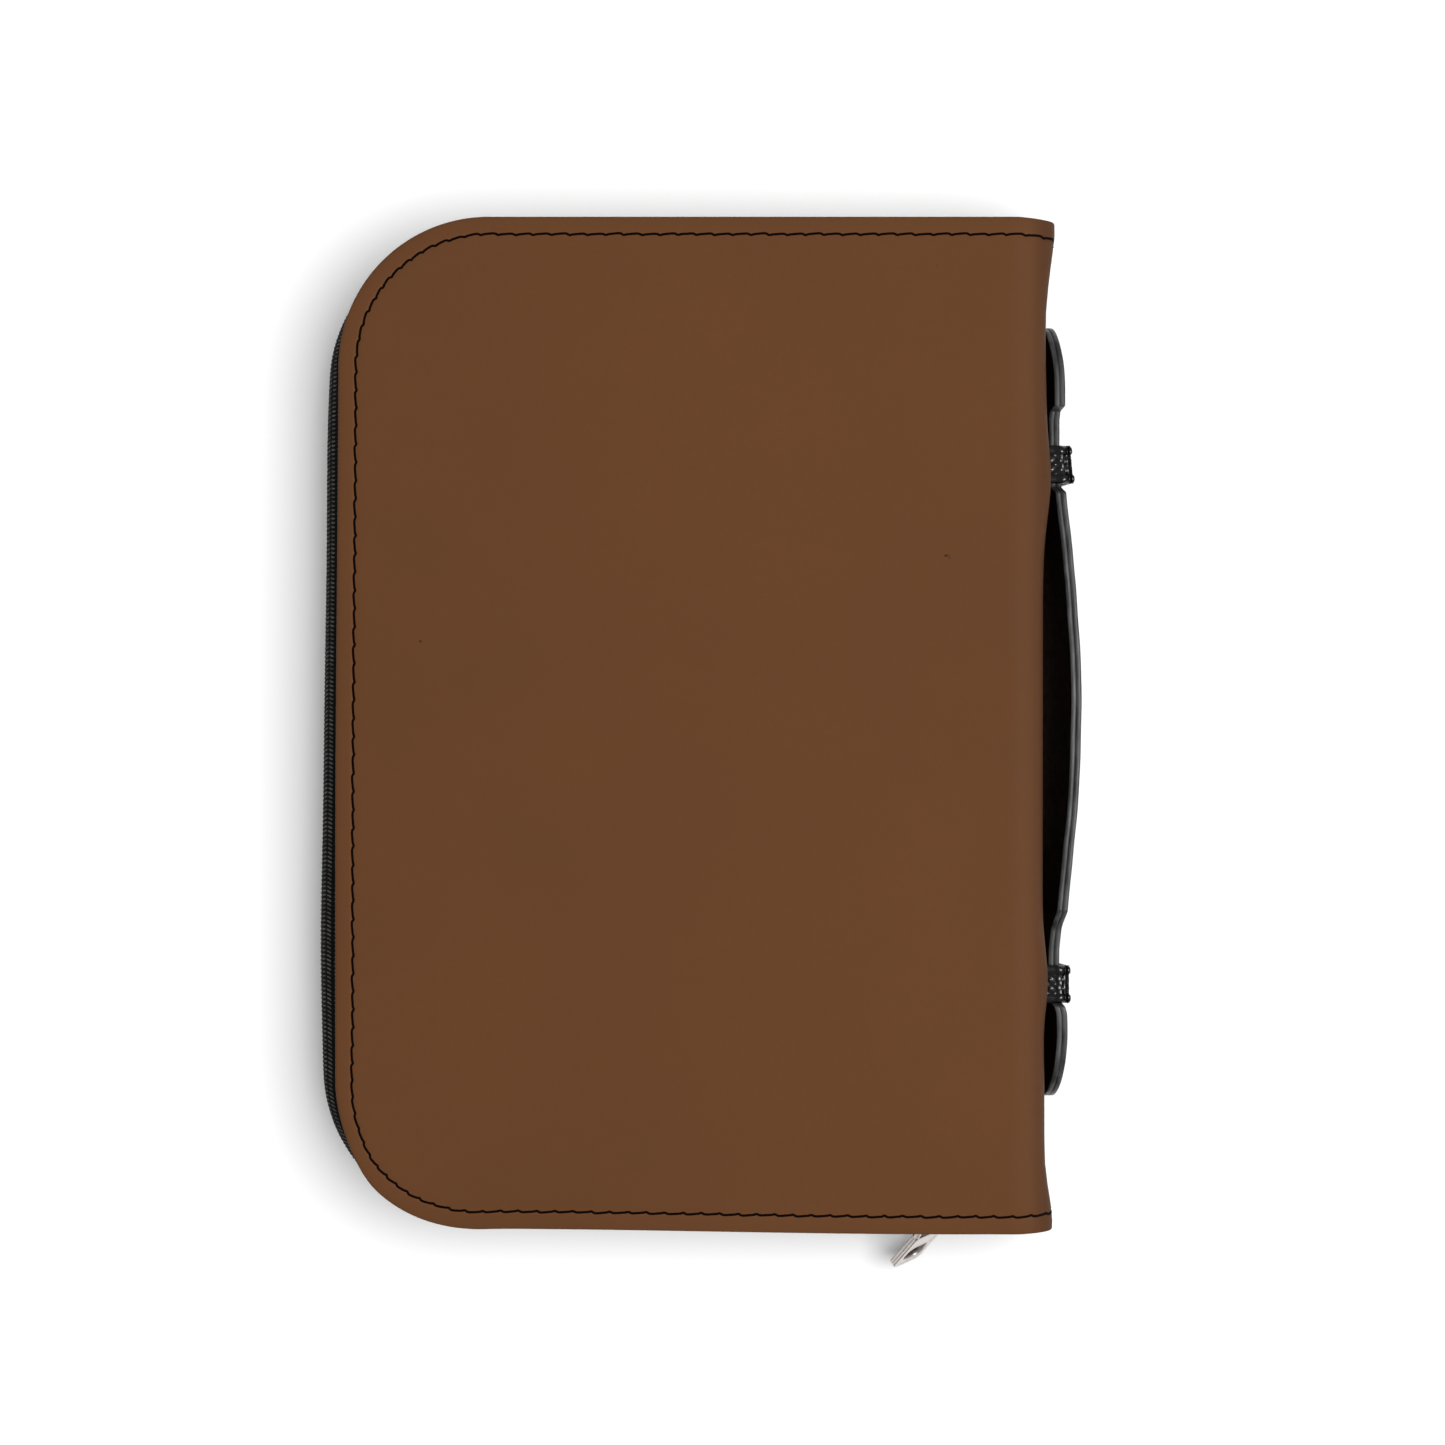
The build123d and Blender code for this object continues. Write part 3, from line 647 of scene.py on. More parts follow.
def topstitch(name, turn):
    """Heavy black thread round the free edge. Each stitch slants to the next hole and steps out again."""
    s = steps(0.6, 2 * HALF_RAIL - 0.6, 0.36)
    count = stitch_count(s)
    phase, number = count % 1.0, np.floor(count)
    step_out = 0.46 + 0.08 * np.sin(number * 2.4)
    off = np.interp(phase, [0, 0.05, 0.16, 0.3, 0.86, 0.95, 1], [-0.5, -0.3, 0.42, 0.5, 0.05, -0.25, -0.5])
    off = off * step_out + 0.05 * np.sin(number * 1.7)
    to_hole = np.minimum(phase, 1 - phase)
    sink = -0.10 + 0.12 * bump(to_hole, 0.06)
    radius = THREAD_R * (1 + 0.22 * bump(to_hole, 0.08))
    line, normal = leather_point(s, STITCH_INSET - off, sink)
    tangent = unit(np.gradient(line, axis=0))
    across = unit(np.cross(normal, tangent))
    rings = thread(line, across, np.cross(tangent, across), radius, 8, 0.9)
    return tube_of(turn(rings)).build(name, THREAD)


SHARED_NODES = {"front": ("front_skin", "front_fold", "spine_skin"), "back": ("back_skin", "back_fold")}
for half, turn_over in HALVES:
    hinge_in, hinge_out = turn_over([(RIGHT, 0, FOLD_Z), (FOLD_X, 0, TOP)]) * MM
    skin = cover_skin(f"cover_leather_{half}", turn_over)
    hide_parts(*SHARED_NODES[half])
    for part in (skin, topstitch(f"topstitch_{half}", turn_over)):
        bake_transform(part)


# ---- Zip: ribbed tape and moulded teeth round the three open sides ------------------
TAPE_END_X = TAPE_HI[0]
TAPE_SEAM_R = CORNER_R - TAPE_TOP_INSET
TAPE_SEAM_Y = CHAIN_Y - TAPE_SEAM_R
CHAIN_CX, CHAIN_CY = CHAIN_X + CHAIN_R, CHAIN_Y - CHAIN_R
CHAIN_TOP, SEAM_TOP = TEETH_TOP, TAPE_HI[2]
CHAIN_RUNS = (TAPE_END_X - CHAIN_CX, CHAIN_R * math.pi / 2, CHAIN_CY)
HALF_CHAIN = sum(CHAIN_RUNS)
TAPE_WIDTH, TAPE_T, TAPE_FLANGE = 26.0, 0.7, 4.0
WALES, RIB_HEIGHT, CORD_HEIGHT = 6.5, 0.26, 0.28
ROUND_SHARE, TAPE_PUFF = 0.6, 1.5


def chain_drift(s):
    """How far the soft chain strays outwards from its plain line, from the head round to the foot."""
    at = np.asarray(s, float) / HALF_CHAIN
    return (-2.9 * bump(at - 0.585, 0.105) - 0.9 * bump(at - 0.80, 0.16) + 0.7 * bump(at - 1.2, 0.10)
            - 0.35 * bump(at - 1.40, 0.08))


def chain_rail(s):
    """Seam point, chain point and way out, by distance along the chain from head end to foot end."""
    side, (along, turn, down) = split_run(s, CHAIN_RUNS)
    turn = turn / CHAIN_R
    out = np.stack([-np.sin(turn), side * np.cos(turn), 0 * turn], -1)
    chain = np.stack([TAPE_END_X - along, side * (CHAIN_CY - down), 0 * turn + CHAIN_TOP], -1)
    seam_x = TAPE_END_X - along * (TAPE_END_X - CORNER_X) / CHAIN_RUNS[0]
    seam = np.stack([seam_x, side * (TAPE_SEAM_Y * (1 - down / CHAIN_CY)), 0 * turn + SEAM_TOP], -1)
    drift = chain_drift(s)[..., None]
    return seam + out * TAPE_SEAM_R, chain + out * (CHAIN_R + drift), out


def tape_point(s, drop, sink):
    """Tape surface from its seam (drop 0) to the chain (drop 1), and sink below that surface."""
    seam, chain, out = chain_rail(s)
    angle = drop * math.pi / 2
    reach = (1 - ROUND_SHARE) * drop + ROUND_SHARE * np.sin(angle)
    tuck = 0.9 * smooth((drop - 0.72) / 0.28)
    fall = (1 - ROUND_SHARE) * drop + ROUND_SHARE * (1 - np.cos(angle))
    span = ((chain - seam) * out).sum(-1)
    height = SEAM_TOP - CHAIN_TOP
    puff = TAPE_PUFF * np.abs(out[..., 1]) * np.sin(math.pi * drop)
    stray = puff + 0.45 * smooth(drop / 0.7) - tuck
    point = seam + (chain - seam) * reach[..., None] + out * stray[..., None]
    point[..., 2] = SEAM_TOP - height * fall
    slope_out = span * ((1 - ROUND_SHARE) + ROUND_SHARE * np.cos(angle) * math.pi / 2)
    slope_out = slope_out + TAPE_PUFF * np.abs(out[..., 1]) * math.pi * np.cos(math.pi * drop)
    slope_down = height * ((1 - ROUND_SHARE) + ROUND_SHARE * np.sin(angle) * math.pi / 2)
    length = np.hypot(slope_out, slope_down)
    normal = out * (slope_down / length)[..., None]
    normal[..., 2] += slope_out / length
    return point - normal * sink[..., None]


def zip_tape(name, turn, body, node):
    """Woven tape: a flange sewn under the cover, then a ribbed wall that bows out to the chain."""
    ribs = int(2 * HALF_CHAIN / RIB_PITCH)
    s = np.linspace(0, 2 * HALF_CHAIN, ribs * 3 + 1)[:, None]
    drop = np.concatenate([np.linspace(0.04, 0.46, 7), np.linspace(0.5, 1, 19)])[None, :]
    s_grid, drop_grid = np.broadcast_arrays(s, drop)
    wale = drop_grid * WALES
    zigzag = 0.4 * np.abs(wale % 2 - 1)
    rib = 0.5 + 0.5 * np.cos(2 * math.pi * (s_grid / RIB_PITCH + zigzag))
    edge = bump(drop_grid - 1, 0.07) + 0.4 * bump(drop_grid - 0.86, 0.03)
    rib = rib * (1 - 0.75 * bump(0.5 - np.abs(wale % 1 - 0.5), 0.14)) * (0.93 + 0.07 * np.sin(s_grid * 0.7))
    outer = tape_point(s_grid, drop_grid, -RIB_HEIGHT * rib - CORD_HEIGHT * edge)
    thin = np.linspace(1, 0.08, 9)[None, :]
    s_thin, thin_grid = np.broadcast_arrays(s, thin)
    inner = tape_point(s_thin, thin_grid, 0 * thin_grid + TAPE_T)
    seam, _, out = chain_rail(s)
    flange = []
    for inset, z in ((0.9, SEAM_TOP - 0.52), (TAPE_FLANGE, SEAM_TOP - 0.5), (TAPE_FLANGE, SEAM_TOP - 0.04),
                     (0.35, SEAM_TOP - 0.02)):
        spot = seam - out * inset
        spot[..., 2] = z
        flange.append(spot)
    ring = np.concatenate([outer, inner] + flange, 1)
    value = np.zeros(ring.shape[:-1])
    value[:, :drop.size] = rib
    shape = Shape()
    shape.tube(turn(ring), value=value)
    piece = shape.build(name, TAPE, value_name="rib", weld=0, crisp=60)
    place(piece, body, "zip_tape", node)


# Teeth and stops are (rise, half thickness, half width) rings; the outline is shared.
TOOTH_IN = 1.35
TOOTH_OUTLINE = ((1, 0.55), (0.6, 1), (-0.6, 1), (-1, 0.55), (-1, -0.55), (-0.6, -1), (0.6, -1), (1, -0.55))
STOP_RINGS = ((-1.6, 1.0), (-1.35, 1.35), (-0.2, 1.45), (0.6, 1.35), (1.6, 1.2), (1.8, 0.9))
TOOTH_OFFSET = {"front": 0.25, "back": 0.75}
TOOTH_RINGS = ((0.9, 0.8, 0.45), (0.55, 1.15, 0.6), (-1.3, 1.2, 0.62), (-2.1, 1.1, 0.62), (-2.9, 1.1, 0.6),
               (-3.55, 0.95, 0.5), (-3.8, 0.6, 0.3))


def zip_teeth(name, turn, offset, body, node):
    """Moulded teeth gripping the tape's edge; the two rows mesh, half a pitch apart."""
    shape = Shape()
    count = int((2 * HALF_CHAIN - 8) / TOOTH_PITCH)
    spots = 4.0 + (np.arange(count) + offset) * TOOTH_PITCH
    _, chain, out = chain_rail(spots)
    along = np.stack([-out[:, 1], out[:, 0], 0 * spots], -1)
    a, b = np.transpose(TOOTH_OUTLINE)[:, :, None]
    for spot, way, run in zip(chain - TOOTH_IN * out, out, along):
        rings = [spot + (0, 0, rise) + way * half_t * a + run * half_w * b
                 for rise, half_t, half_w in TOOTH_RINGS]
        shape.tube(turn(np.array(rings)))
    place(shape.build(name, TEETH, weld=0, crisp=32), body, "zip_teeth", node)


def zip_stops(name, turn, body, node):
    """Crimped stops that end the row of teeth, one at the head and one at the foot."""
    low, high = box_mm("front_zip_stops")
    shape = Shape()
    wide, deep = squarish(circle(12), 0.6)
    for side in (1, -1):
        x, y, z = (low[0] + high[0]) / 2, side * (high[1] - 1.4), (low[2] + high[2]) / 2
        shape.tube(turn(np.array([level(np.stack([x + wide, y + half_t * deep], -1), z + rise)
                                  for rise, half_t in STOP_RINGS])))
    place(shape.build(name, TEETH), body, "zip_teeth", node)


for half, turn_over in HALVES:
    cover = half + "_cover"
    zip_tape(half + "_zip_tape_cloth", turn_over, cover, half + "_zip_tape")
    zip_teeth(half + "_zip_teeth_row", turn_over, TOOTH_OFFSET[half], cover, half + "_zip_teeth")
    zip_stops(half + "_zip_end_stops", turn_over, cover, half + "_zip_stops")


# ---- Handle: two sewn leather layers that slide in the loops ------------------------
TILT = math.radians(8)
STRAP_X, STRAP_Y = 94.45, 4.5
STRAP_HALF, NECK_HALF, TONGUE_HALF = 13.0, 8.0, 12.5
NECK_FROM, NECK_TO = 58.9, 78.3
STRAP_LOW, STRAP_HIGH = box_mm("handle_inner_leather")
HEAD_TIP = STRAP_HIGH[1] - STRAP_Y
FOOT_TIP = STRAP_LOW[1] - STRAP_Y
STRAP_LAYER = 1.45
STRAP_BOW = 3.65
STRAP_REST = -0.65
FLAT_FROM = 62.0
LEAN = math.radians(5.2)
EDGE_ROLL = 0.28
STITCH_MARGIN, STRAP_PITCH = 2.6, 3.4


def strap_half_width(d):
    """Half width of the strap, a distance from its middle: broad, necked at the loops, broad tongues."""
    d = np.asarray(d, float)
    a = np.abs(d)
    shoulder = np.where(d > 0, smooth((a - NECK_FROM + 2.8) / 2.4), smooth((a - NECK_FROM + 6.5) / 6.5))
    half = STRAP_HALF + (NECK_HALF - STRAP_HALF) * shoulder
    tongue = np.where(d > 0, smooth((a - NECK_TO + 0.1) / 1.3), smooth((a - NECK_TO + 1.0) / 1.7))
    half = half + (TONGUE_HALF - NECK_HALF) * tongue
    to_tip = np.where(d > 0, HEAD_TIP, -FOOT_TIP) - a
    end = np.sqrt(np.clip(TONGUE_HALF ** 2 - np.clip(TONGUE_HALF - to_tip, 0, None) ** 2, 0.01, None))
    return np.minimum(half, end)


def strap_point(d, up, out):
    """Point of the strap: d along it, up its width, out from its inner face."""
    d, up, out = np.broadcast_arrays(*(np.asarray(v, float) for v in (d, up, out)))
    a = np.abs(d)
    tilt = TILT + LEAN * np.cos(np.clip(a / FLAT_FROM, 0, 1) * math.pi / 2) ** 1.5
    bow = STRAP_REST + STRAP_BOW * np.cos(np.clip(a / FLAT_FROM, 0, 1) * math.pi / 2)
    bow = bow - 0.25 * (1 - np.exp(-np.clip(a - FLAT_FROM, 0, None) / 2.5))
    tip = np.where(d > 0, HEAD_TIP, -FOOT_TIP)
    bow = bow - 1.3 * smooth((a - tip + 18) / 20)
    bow = bow + 1.05 * smooth((-d - NECK_TO + 2) / 5) + 0.55 * smooth((d - NECK_TO + 3) / 5)
    inner_x = STRAP_X + bow * math.cos(TILT) + up * np.sin(tilt)
    at_loop = smooth((a - NECK_FROM + 4) / 4) * smooth((NECK_TO + 4 - a) / 4)
    rest = np.clip(RIGHT + 0.3 + 0.6 * at_loop - inner_x, 0, None)
    x = inner_x + rest + out * np.cos(tilt)
    z = MID - bow * math.sin(TILT) - out * np.sin(tilt) + up * np.cos(tilt)
    return np.stack([x, d + STRAP_Y, z], -1)


# Distances along the strap, each with the step to the next: close at the shoulders and tips.
STATIONS = ((FOOT_TIP, 0.15), (FOOT_TIP + 0.6, 0.4), (FOOT_TIP + 3, 1.0), (-NECK_TO - 4.5, 0.45),
            (-NECK_TO - 1, 0.2), (-NECK_TO + 1.5, 1.5), (-NECK_FROM - 0.5, 0.45), (-NECK_FROM + 7, 1.6),
            (NECK_FROM - 4.5, 0.3), (NECK_FROM + 0.5, 1.5), (NECK_TO - 0.5, 0.15), (NECK_TO + 1.5, 0.45),
            (NECK_TO + 4.5, 1.0), (HEAD_TIP - 3, 0.4), (HEAD_TIP - 0.6, 0.15), (HEAD_TIP, 0))


def strap_layer(name, inner, outer, crown, node):
    """One leather layer with rounded, painted edges, between two distances out from the inner face."""
    parts = [steps(a, b, step)[:-1] for (a, step), (b, _) in zip(STATIONS[:-1], STATIONS[1:])]
    d = np.concatenate(parts + [[HEAD_TIP]])
    half = strap_half_width(d)[:, None]
    core, bend = half - EDGE_ROLL, np.linspace(-1, 1, 9) * math.pi / 2
    roll, rise = EDGE_ROLL * np.cos(bend), (inner + outer) / 2 + (outer - inner) / 2 * np.sin(bend)
    flat = np.linspace(1, -1, 21)[1:-1]
    seam = bump((1 - np.abs(flat)) * STRAP_HALF - STITCH_MARGIN, 0.5)
    face = outer + crown * (1 - flat ** 2) - 0.10 * seam
    up = np.concatenate([core + roll, core * flat, -core - roll, core * flat[::-1]], 1)
    painted = np.repeat([True, False, True, False], [len(bend), len(flat)] * 2)
    wobble = 0.06 * np.sin(d / 5.1) + 0.036 * np.sin(d / 2.3 + 1)
    out = np.concatenate([rise, face, rise[::-1], 0 * flat + inner]) + wobble[:, None] * painted
    shape = Shape()
    shape.banded_tube(strap_point(d[:, None], up, out), painted & np.roll(painted, -1))
    place(shape.build(name, HANDLE, EDGE, weld=0, crisp=60), "handle", "handle_leather", node)


def strap_stitching():
    """Two rows of short stitches along the strap's outer face and its tongues."""
    shape = Shape()
    along = np.linspace(-1, 1, 7)
    angle = circle(6)
    size = 0.2 * (1 - 0.5 * np.abs(along) ** 4)[:, None]
    rise = (2 * STRAP_LAYER + 0.10 - 0.28 * np.abs(along) ** 3)[:, None]
    for side in (1, -1):
        for spot in np.arange(FOOT_TIP + 6, HEAD_TIP - 6, STRAP_PITCH):
            if NECK_FROM - 6 < abs(spot) < NECK_TO + 4:
                continue
            d = spot + 0.42 * STRAP_PITCH * along
            up = (side * (strap_half_width(d) - STITCH_MARGIN) + 0.12 * along)[:, None]
            shape.tube(strap_point(d[:, None], up + size * np.cos(angle), rise + size * np.sin(angle)))
    place(shape.build("handle_stitching", THREAD, weld=0), "handle", "handle_leather")


strap_layer("handle_strap_inner", 0.0, STRAP_LAYER, 0.0, "handle_inner_leather")
strap_layer("handle_strap_outer", STRAP_LAYER + 0.02, 2 * STRAP_LAYER, 0.10, "handle_outer_leather")
strap_stitching()


# ---- Loops: cast black metal, two plain rims and a knurled band between -------------
LOOP_HALF = 5.0
KNURL = 2.4
# Distance from the loop's middle, and how deep its outer face lies there.
RIM_SINK = ((2.55, 0.5), (2.75, 0.3), (2.95, 0.08), (3.3, 0.0), (3.9, 0.0), (4.4, 0.03), (4.72, 0.14),
            (4.93, 0.36), (5.0, 0.6))


def rounded_path(corners, radii, step=0.35):
    """Points along a polyline whose inner corners are rounded."""
    corners = [np.array(c, float) for c in corners]
    points = [corners[0]]

    def straight_to(end):
        start = points[-1]
        count = max(2, int(np.linalg.norm(end - start) / step))
        points.extend(start + (end - start) * t for t in np.linspace(0, 1, count)[1:])

    for before, corner, after, radius in zip(corners[:-2], corners[1:-1], corners[2:], radii):
        into, away = unit(corner - before), unit(after - corner)
        half_turn = math.acos(np.clip(into @ away, -1, 1)) / 2
        back = radius * math.tan(half_turn)
        start, end = corner - into * back, corner + away * back
        straight_to(start)
        count = max(3, int(2 * half_turn * radius / step * 1.5) + 2)
        for t in np.linspace(0, 1, count)[1:]:
            points.append((1 - t) ** 2 * start + 2 * t * (1 - t) * corner + t ** 2 * end)
    straight_to(corners[-1])
    return np.array(points)


def tilted(out, up):
    """X and Z of a point in the strap's tilted section."""
    return (STRAP_X + out * math.cos(TILT) + up * math.sin(TILT),
            MID - out * math.sin(TILT) + up * math.cos(TILT))


def handle_loop(name, y_mid, reach, skew, node):
    """Four-sided loop: a base plate on the spine, two legs, a groove and a lipped bridge."""
    crest, groove = reach - 2.2, reach - 1.3
    lip = ((0.4, 10.45), (crest - 0.8, 10.95), (crest + 0.1, 10.45), (groove, 9.9), (groove + 0.35, 10.75),
           (reach, 10.65))
    over, below = ([tilted(out, way * up) for out, up in lip] for way in (1, -1))
    ends = [(RIGHT + 0.4, MID + 10.6)], [(RIGHT + 0.4, MID - 10.6)]
    bends = (1.5, 2.2, 0.5, 0.22, 0.3, 0.9)
    outer = rounded_path(ends[0] + over + below[::-1] + ends[1], bends + bends[::-1])
    forward = unit(np.gradient(outer, axis=0))
    way = np.stack([-forward[:, 1], forward[:, 0]], -1)
    way[((outer - tilted(1.2, 0)) * way).sum(1) < 0] *= -1
    length = run_along(outer)
    rim_at, rim_sink = np.transpose(RIM_SINK)
    across = np.concatenate([-rim_at[:0:-1], np.linspace(-2.55, 2.55, 20), rim_at[1:]])
    crossed = [(length[:, None] + sign * across[None, :]) / KNURL % 1 for sign in (1, -1)]
    peak = np.minimum(*(1 - np.abs(2 * ridge - 1) for ridge in crossed))
    from_end = np.minimum(length, length[-1] - length)
    knurl = 0.09 + 0.3 * bump(from_end - crest - 0.3, 1.5)
    bridge = smooth((from_end - reach) / 1.5)
    lips = 0.3 * bridge[:, None] * smooth((np.abs(across) - 4.1) / 0.9)[None, :]
    sink = np.interp(np.abs(across), rim_at, rim_sink)[None, :] + lips
    sink = sink - knurl[:, None] * peak * (np.abs(across) < 2.6)[None, :]
    face = outer[:, None] - way[:, None] * sink[..., None]
    hollow = [(RIGHT + 0.8, MID + 8.9), tilted(reach - 1.45, 8.75), tilted(reach - 1.45, -8.75),
              (RIGHT + 0.8, MID - 8.9)]
    inner = rounded_path(hollow, (0.9, 0.9))
    inner_length = run_along(inner)
    spots = length / length[-1] * inner_length[-1]
    inner = np.stack([np.interp(spots, inner_length, inner[:, k]) for k in (0, 1)], -1)
    under = np.array([4.95, 4.75, 0, -4.75, -4.95])
    lift = np.array([0.25, 0.0, 0.0, 0.0, 0.25])
    section = np.concatenate([face, inner[:, None] + way[:, None] * lift[None, :, None]], 1)
    v = np.concatenate([across, under])[None, :]
    x, z = section[..., 0], section[..., 1]
    shape = tube_of(np.stack([x - skew * v * smooth((x - RIGHT - 1) / 5), y_mid + v + 0 * x, z], -1))
    wide, tall = squarish(circle(40), 0.35)
    wide_half, tall_half = LOOP_HALF + 0.35, 11.9
    shape.tube([np.stack([0 * wide + RIGHT + x, y_mid + wide * (wide_half - less),
                          MID + tall * (tall_half - less)], -1)
                for x, less in ((-0.3, 0.0), (0.6, 0.0), (0.75, 0.15), (0.8, 0.4))])
    place(shape.build(name, ENAMEL, weld=0, crisp=70), "spine", "black_metal", node)


LOOP_Y = sum(corner[1] for corner in box_mm("upper_handle_loop")) / 2
handle_loop("handle_loop_upper", LOOP_Y, 5.3, 0.09, "upper_handle_loop")
handle_loop("handle_loop_lower", -LOOP_Y, 4.55, 0.01, "lower_handle_loop")


# ---- Plates and rings: rounded outlines in steps ------------------------------------
def rounded_ring(x0, x1, y0, y1, radius, inset=0.0, per_side=10, per_corner=7):
    """Ring round a rectangle with rounded corners, drawn in by inset. Radii go round from (x1, y1)."""
    x0, x1, y0, y1 = x0 + inset, x1 - inset, y0 + inset, y1 - inset
    radii = radius if isinstance(radius, tuple) else (radius,) * 4
    arcs = []
    for k, (cx, cy, r) in enumerate(zip((x1, x0, x0, x1), (y1, y1, y0, y0), radii)):
        r = max(r - inset, 0.02)
        t = math.pi / 2 * (k + np.linspace(0, 1, per_corner))
        mid_x, mid_y = cx - r * (1 if k in (0, 3) else -1), cy - r * (1 if k in (0, 1) else -1)
        arcs.append(np.stack([mid_x + r * np.cos(t), mid_y + r * np.sin(t)], -1))
    between = np.linspace(0, 1, per_side + 1)[1:-1, None]
    sides = [arc[-1] + (after[0] - arc[-1]) * between for arc, after in zip(arcs, arcs[1:] + arcs[:1])]
    return np.concatenate([points for pair in zip(arcs, sides) for points in pair])


def panel_ring(x0, x1, y_half, radius, inset=0.0, per_side=10):
    """Ring of a panel whose fore corners are rounded and whose spine corners are square."""
    return rounded_ring(x0, x1, -y_half, y_half, (0.4, radius, radius, 0.4), inset, per_side)


def slab(ring_at, sections, turn):
    """Closed plate from (inset, z) sections, from one face over the edge to the other face."""
    return tube_of(turn(np.array([level(ring_at(inset), z) for inset, z in sections])))


def soft_edge(z0, z1, radius, inset=0.0):
    """Sections of a plate from z1 down to z0 with rounded edges."""
    turn = np.linspace(0, math.pi / 2, 4)
    upper = [(inset + radius * (1 - math.sin(t)), z1 - radius * (1 - math.cos(t))) for t in turn]
    lower = [(inset + radius * (1 - math.cos(t)), z0 + radius * (1 - math.sin(t))) for t in turn]
    return [(inset + 4 * radius, z1)] + upper + lower + [(inset + 4 * radius, z0)]


def dress(material, *nodes):
    """Gives CAD nodes that keep their own shape a finished material."""
    for node in nodes:
        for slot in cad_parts[node].material_slots:
            slot.material = material


# ---- Linings, and the sleeves that hold the Bible's boards --------------------------
LINING_INSET = 2.8
SLEEVE_LO, SLEEVE_HI = box_mm("front_sleeve")
SLEEVE_T, SLEEVE_WALL, SLEEVE_R = 0.6, 0.8, 7.8
BINDING_W = 4.6


def cover_lining(side, turn):
    """Lining cloth glued inside a cover panel, its edge tucked under the leather."""
    low, high = box_mm("front_lining")
    x0, y_half = LEFT + LINING_INSET, HALF_H - LINING_INSET
    sheet = slab(lambda inset: panel_ring(x0, high[0], y_half, CORNER_R - LINING_INSET, inset, 16),
                 soft_edge(low[2], low[2] + LINING_T, 0.12), turn)
    piece = sheet.build(f"{side}_cover_lining", LINING)
    place(piece, f"{side}_cover", "lining_fabric", f"{side}_lining")


def spine_lining():
    """Lining cloth behind the spine, over the ends of the loops' rivets."""
    low, high = box_mm("spine_lining")
    sheet = slab(lambda inset: rounded_ring(low[1], high[1], low[2], high[2], 1.5, inset),
                 soft_edge(low[0], high[0] - 0.05, 0.2), lambda points: points[..., [2, 0, 1]])
    piece = place(sheet.build("spine_cover_lining", LINING), "spine", "lining_fabric", "spine_lining")


def sleeve_path(inset):
    """Open path round the sleeve's three sewn sides, from the head of its mouth to the foot, drawn in."""
    x0, x1, y_half = SLEEVE_LO[0], SLEEVE_HI[0], SLEEVE_HI[1]
    radius = max(SLEEVE_R - inset, 0.3)
    turn = np.linspace(0, math.pi / 2, 10)
    centre_x, centre_y = x0 + inset + radius, y_half - inset - radius
    head = steps(x1, x0 + SLEEVE_R, 4)[:-1]
    side = steps(y_half - SLEEVE_R, SLEEVE_R - y_half, 4)[1:-1]
    arc = np.stack([centre_x - radius * np.sin(turn), centre_y + radius * np.cos(turn)], -1)
    first = np.concatenate([np.stack([head, 0 * head + y_half - inset], -1), arc])
    fore = np.stack([0 * side + x0 + inset, side], -1)
    return np.concatenate([first, fore, first[::-1] * [1, -1]])


def sleeve(side, turn, body):
    """Cloth pocket sewn to the lining on three sides, with a bound mouth towards the spine."""
    z0, z1 = SLEEVE_LO[2] + 0.06, SLEEVE_HI[2]
    inner = z0 + SLEEVE_T - 0.1
    rows = [(14, z0), (9, z0), (5, z0 + 0.02), (3.2, z0 + 0.14), (2.4, z0 + 0.05), (1.2, z0),
            (0.5, z0 + 0.1), (0.12, z0 + 0.4), (0.0, z0 + 0.9), (0.15, z1 - 0.8), (0.0, z1),
            (SLEEVE_WALL, z1), (SLEEVE_WALL, inner + 0.4), (SLEEVE_WALL + 0.4, inner), (3.2, inner + 0.12),
            (9, inner), (14, inner)]
    rings = np.array([level(sleeve_path(inset), z) for inset, z in rows])
    shape = Shape()
    index = shape.grid(turn(rings))
    shape.skin([index[0], index[-1][::-1], index[:, 0], index[::-1, -1]])
    shape.skin([(index[0, 0], index[0, -1], index[-1, -1], index[-1, 0])])
    cloth = place(shape.build(f"sleeve_{side}", SLEEVE), body, "sleeve_fabric", f"{side}_sleeve")
    mouth, y_half = SLEEVE_HI[0], SLEEVE_HI[1] - 0.3
    strip = (mouth - BINDING_W, mouth + 0.3, -y_half, y_half, 0.6)
    sections = soft_edge(z0 - 0.04, inner + 0.3, 0.3)
    binding = slab(lambda inset: rounded_ring(*strip, inset, 40, 3), sections, turn)
    bound = place(binding.build(f"sleeve_binding_{side}", LINING), body, "sleeve_fabric")
    seam = seam_stitches(f"sleeve_stitching_{side}", turn, z0 - 0.02, body)


def seam_stitches(name, turn, z, body):
    """Lockstitch round the sleeve and along its binding."""
    shape = Shape()
    path = sleeve_path(3.0)
    mouth = np.array([[SLEEVE_HI[0] - BINDING_W + 0.9, y] for y in (SLEEVE_HI[1] - 2, 2 - SLEEVE_HI[1])])
    for line, depth in ((path, 0.10), (mouth, 0.02)):
        distance = run_along(line)
        for start in np.arange(2.0, distance[-1] - 3.5, 3.0):
            at = start + np.linspace(0, 2.4, 5)
            spot = np.stack([np.interp(at, distance, line[:, k]) for k in (0, 1)], -1)
            way = unit(spot[-1] - spot[0])
            rise = z + depth - 0.09 * np.sin(np.linspace(0, math.pi, 5))
            middle = np.concatenate([spot, rise[:, None]], 1)
            across = np.array([[-way[1], way[0], 0]])
            shape.tube(turn(thread(middle, across, np.array([[0, 0, 1]]), 0.16, 5, 0.7)))
    return place(shape.build(name, THREAD, weld=0), body, "sleeve_fabric")


for half, turn_over in HALVES:
    cover_lining(half, turn_over)
    sleeve(half, turn_over, f"{half}_cover")
spine_lining()


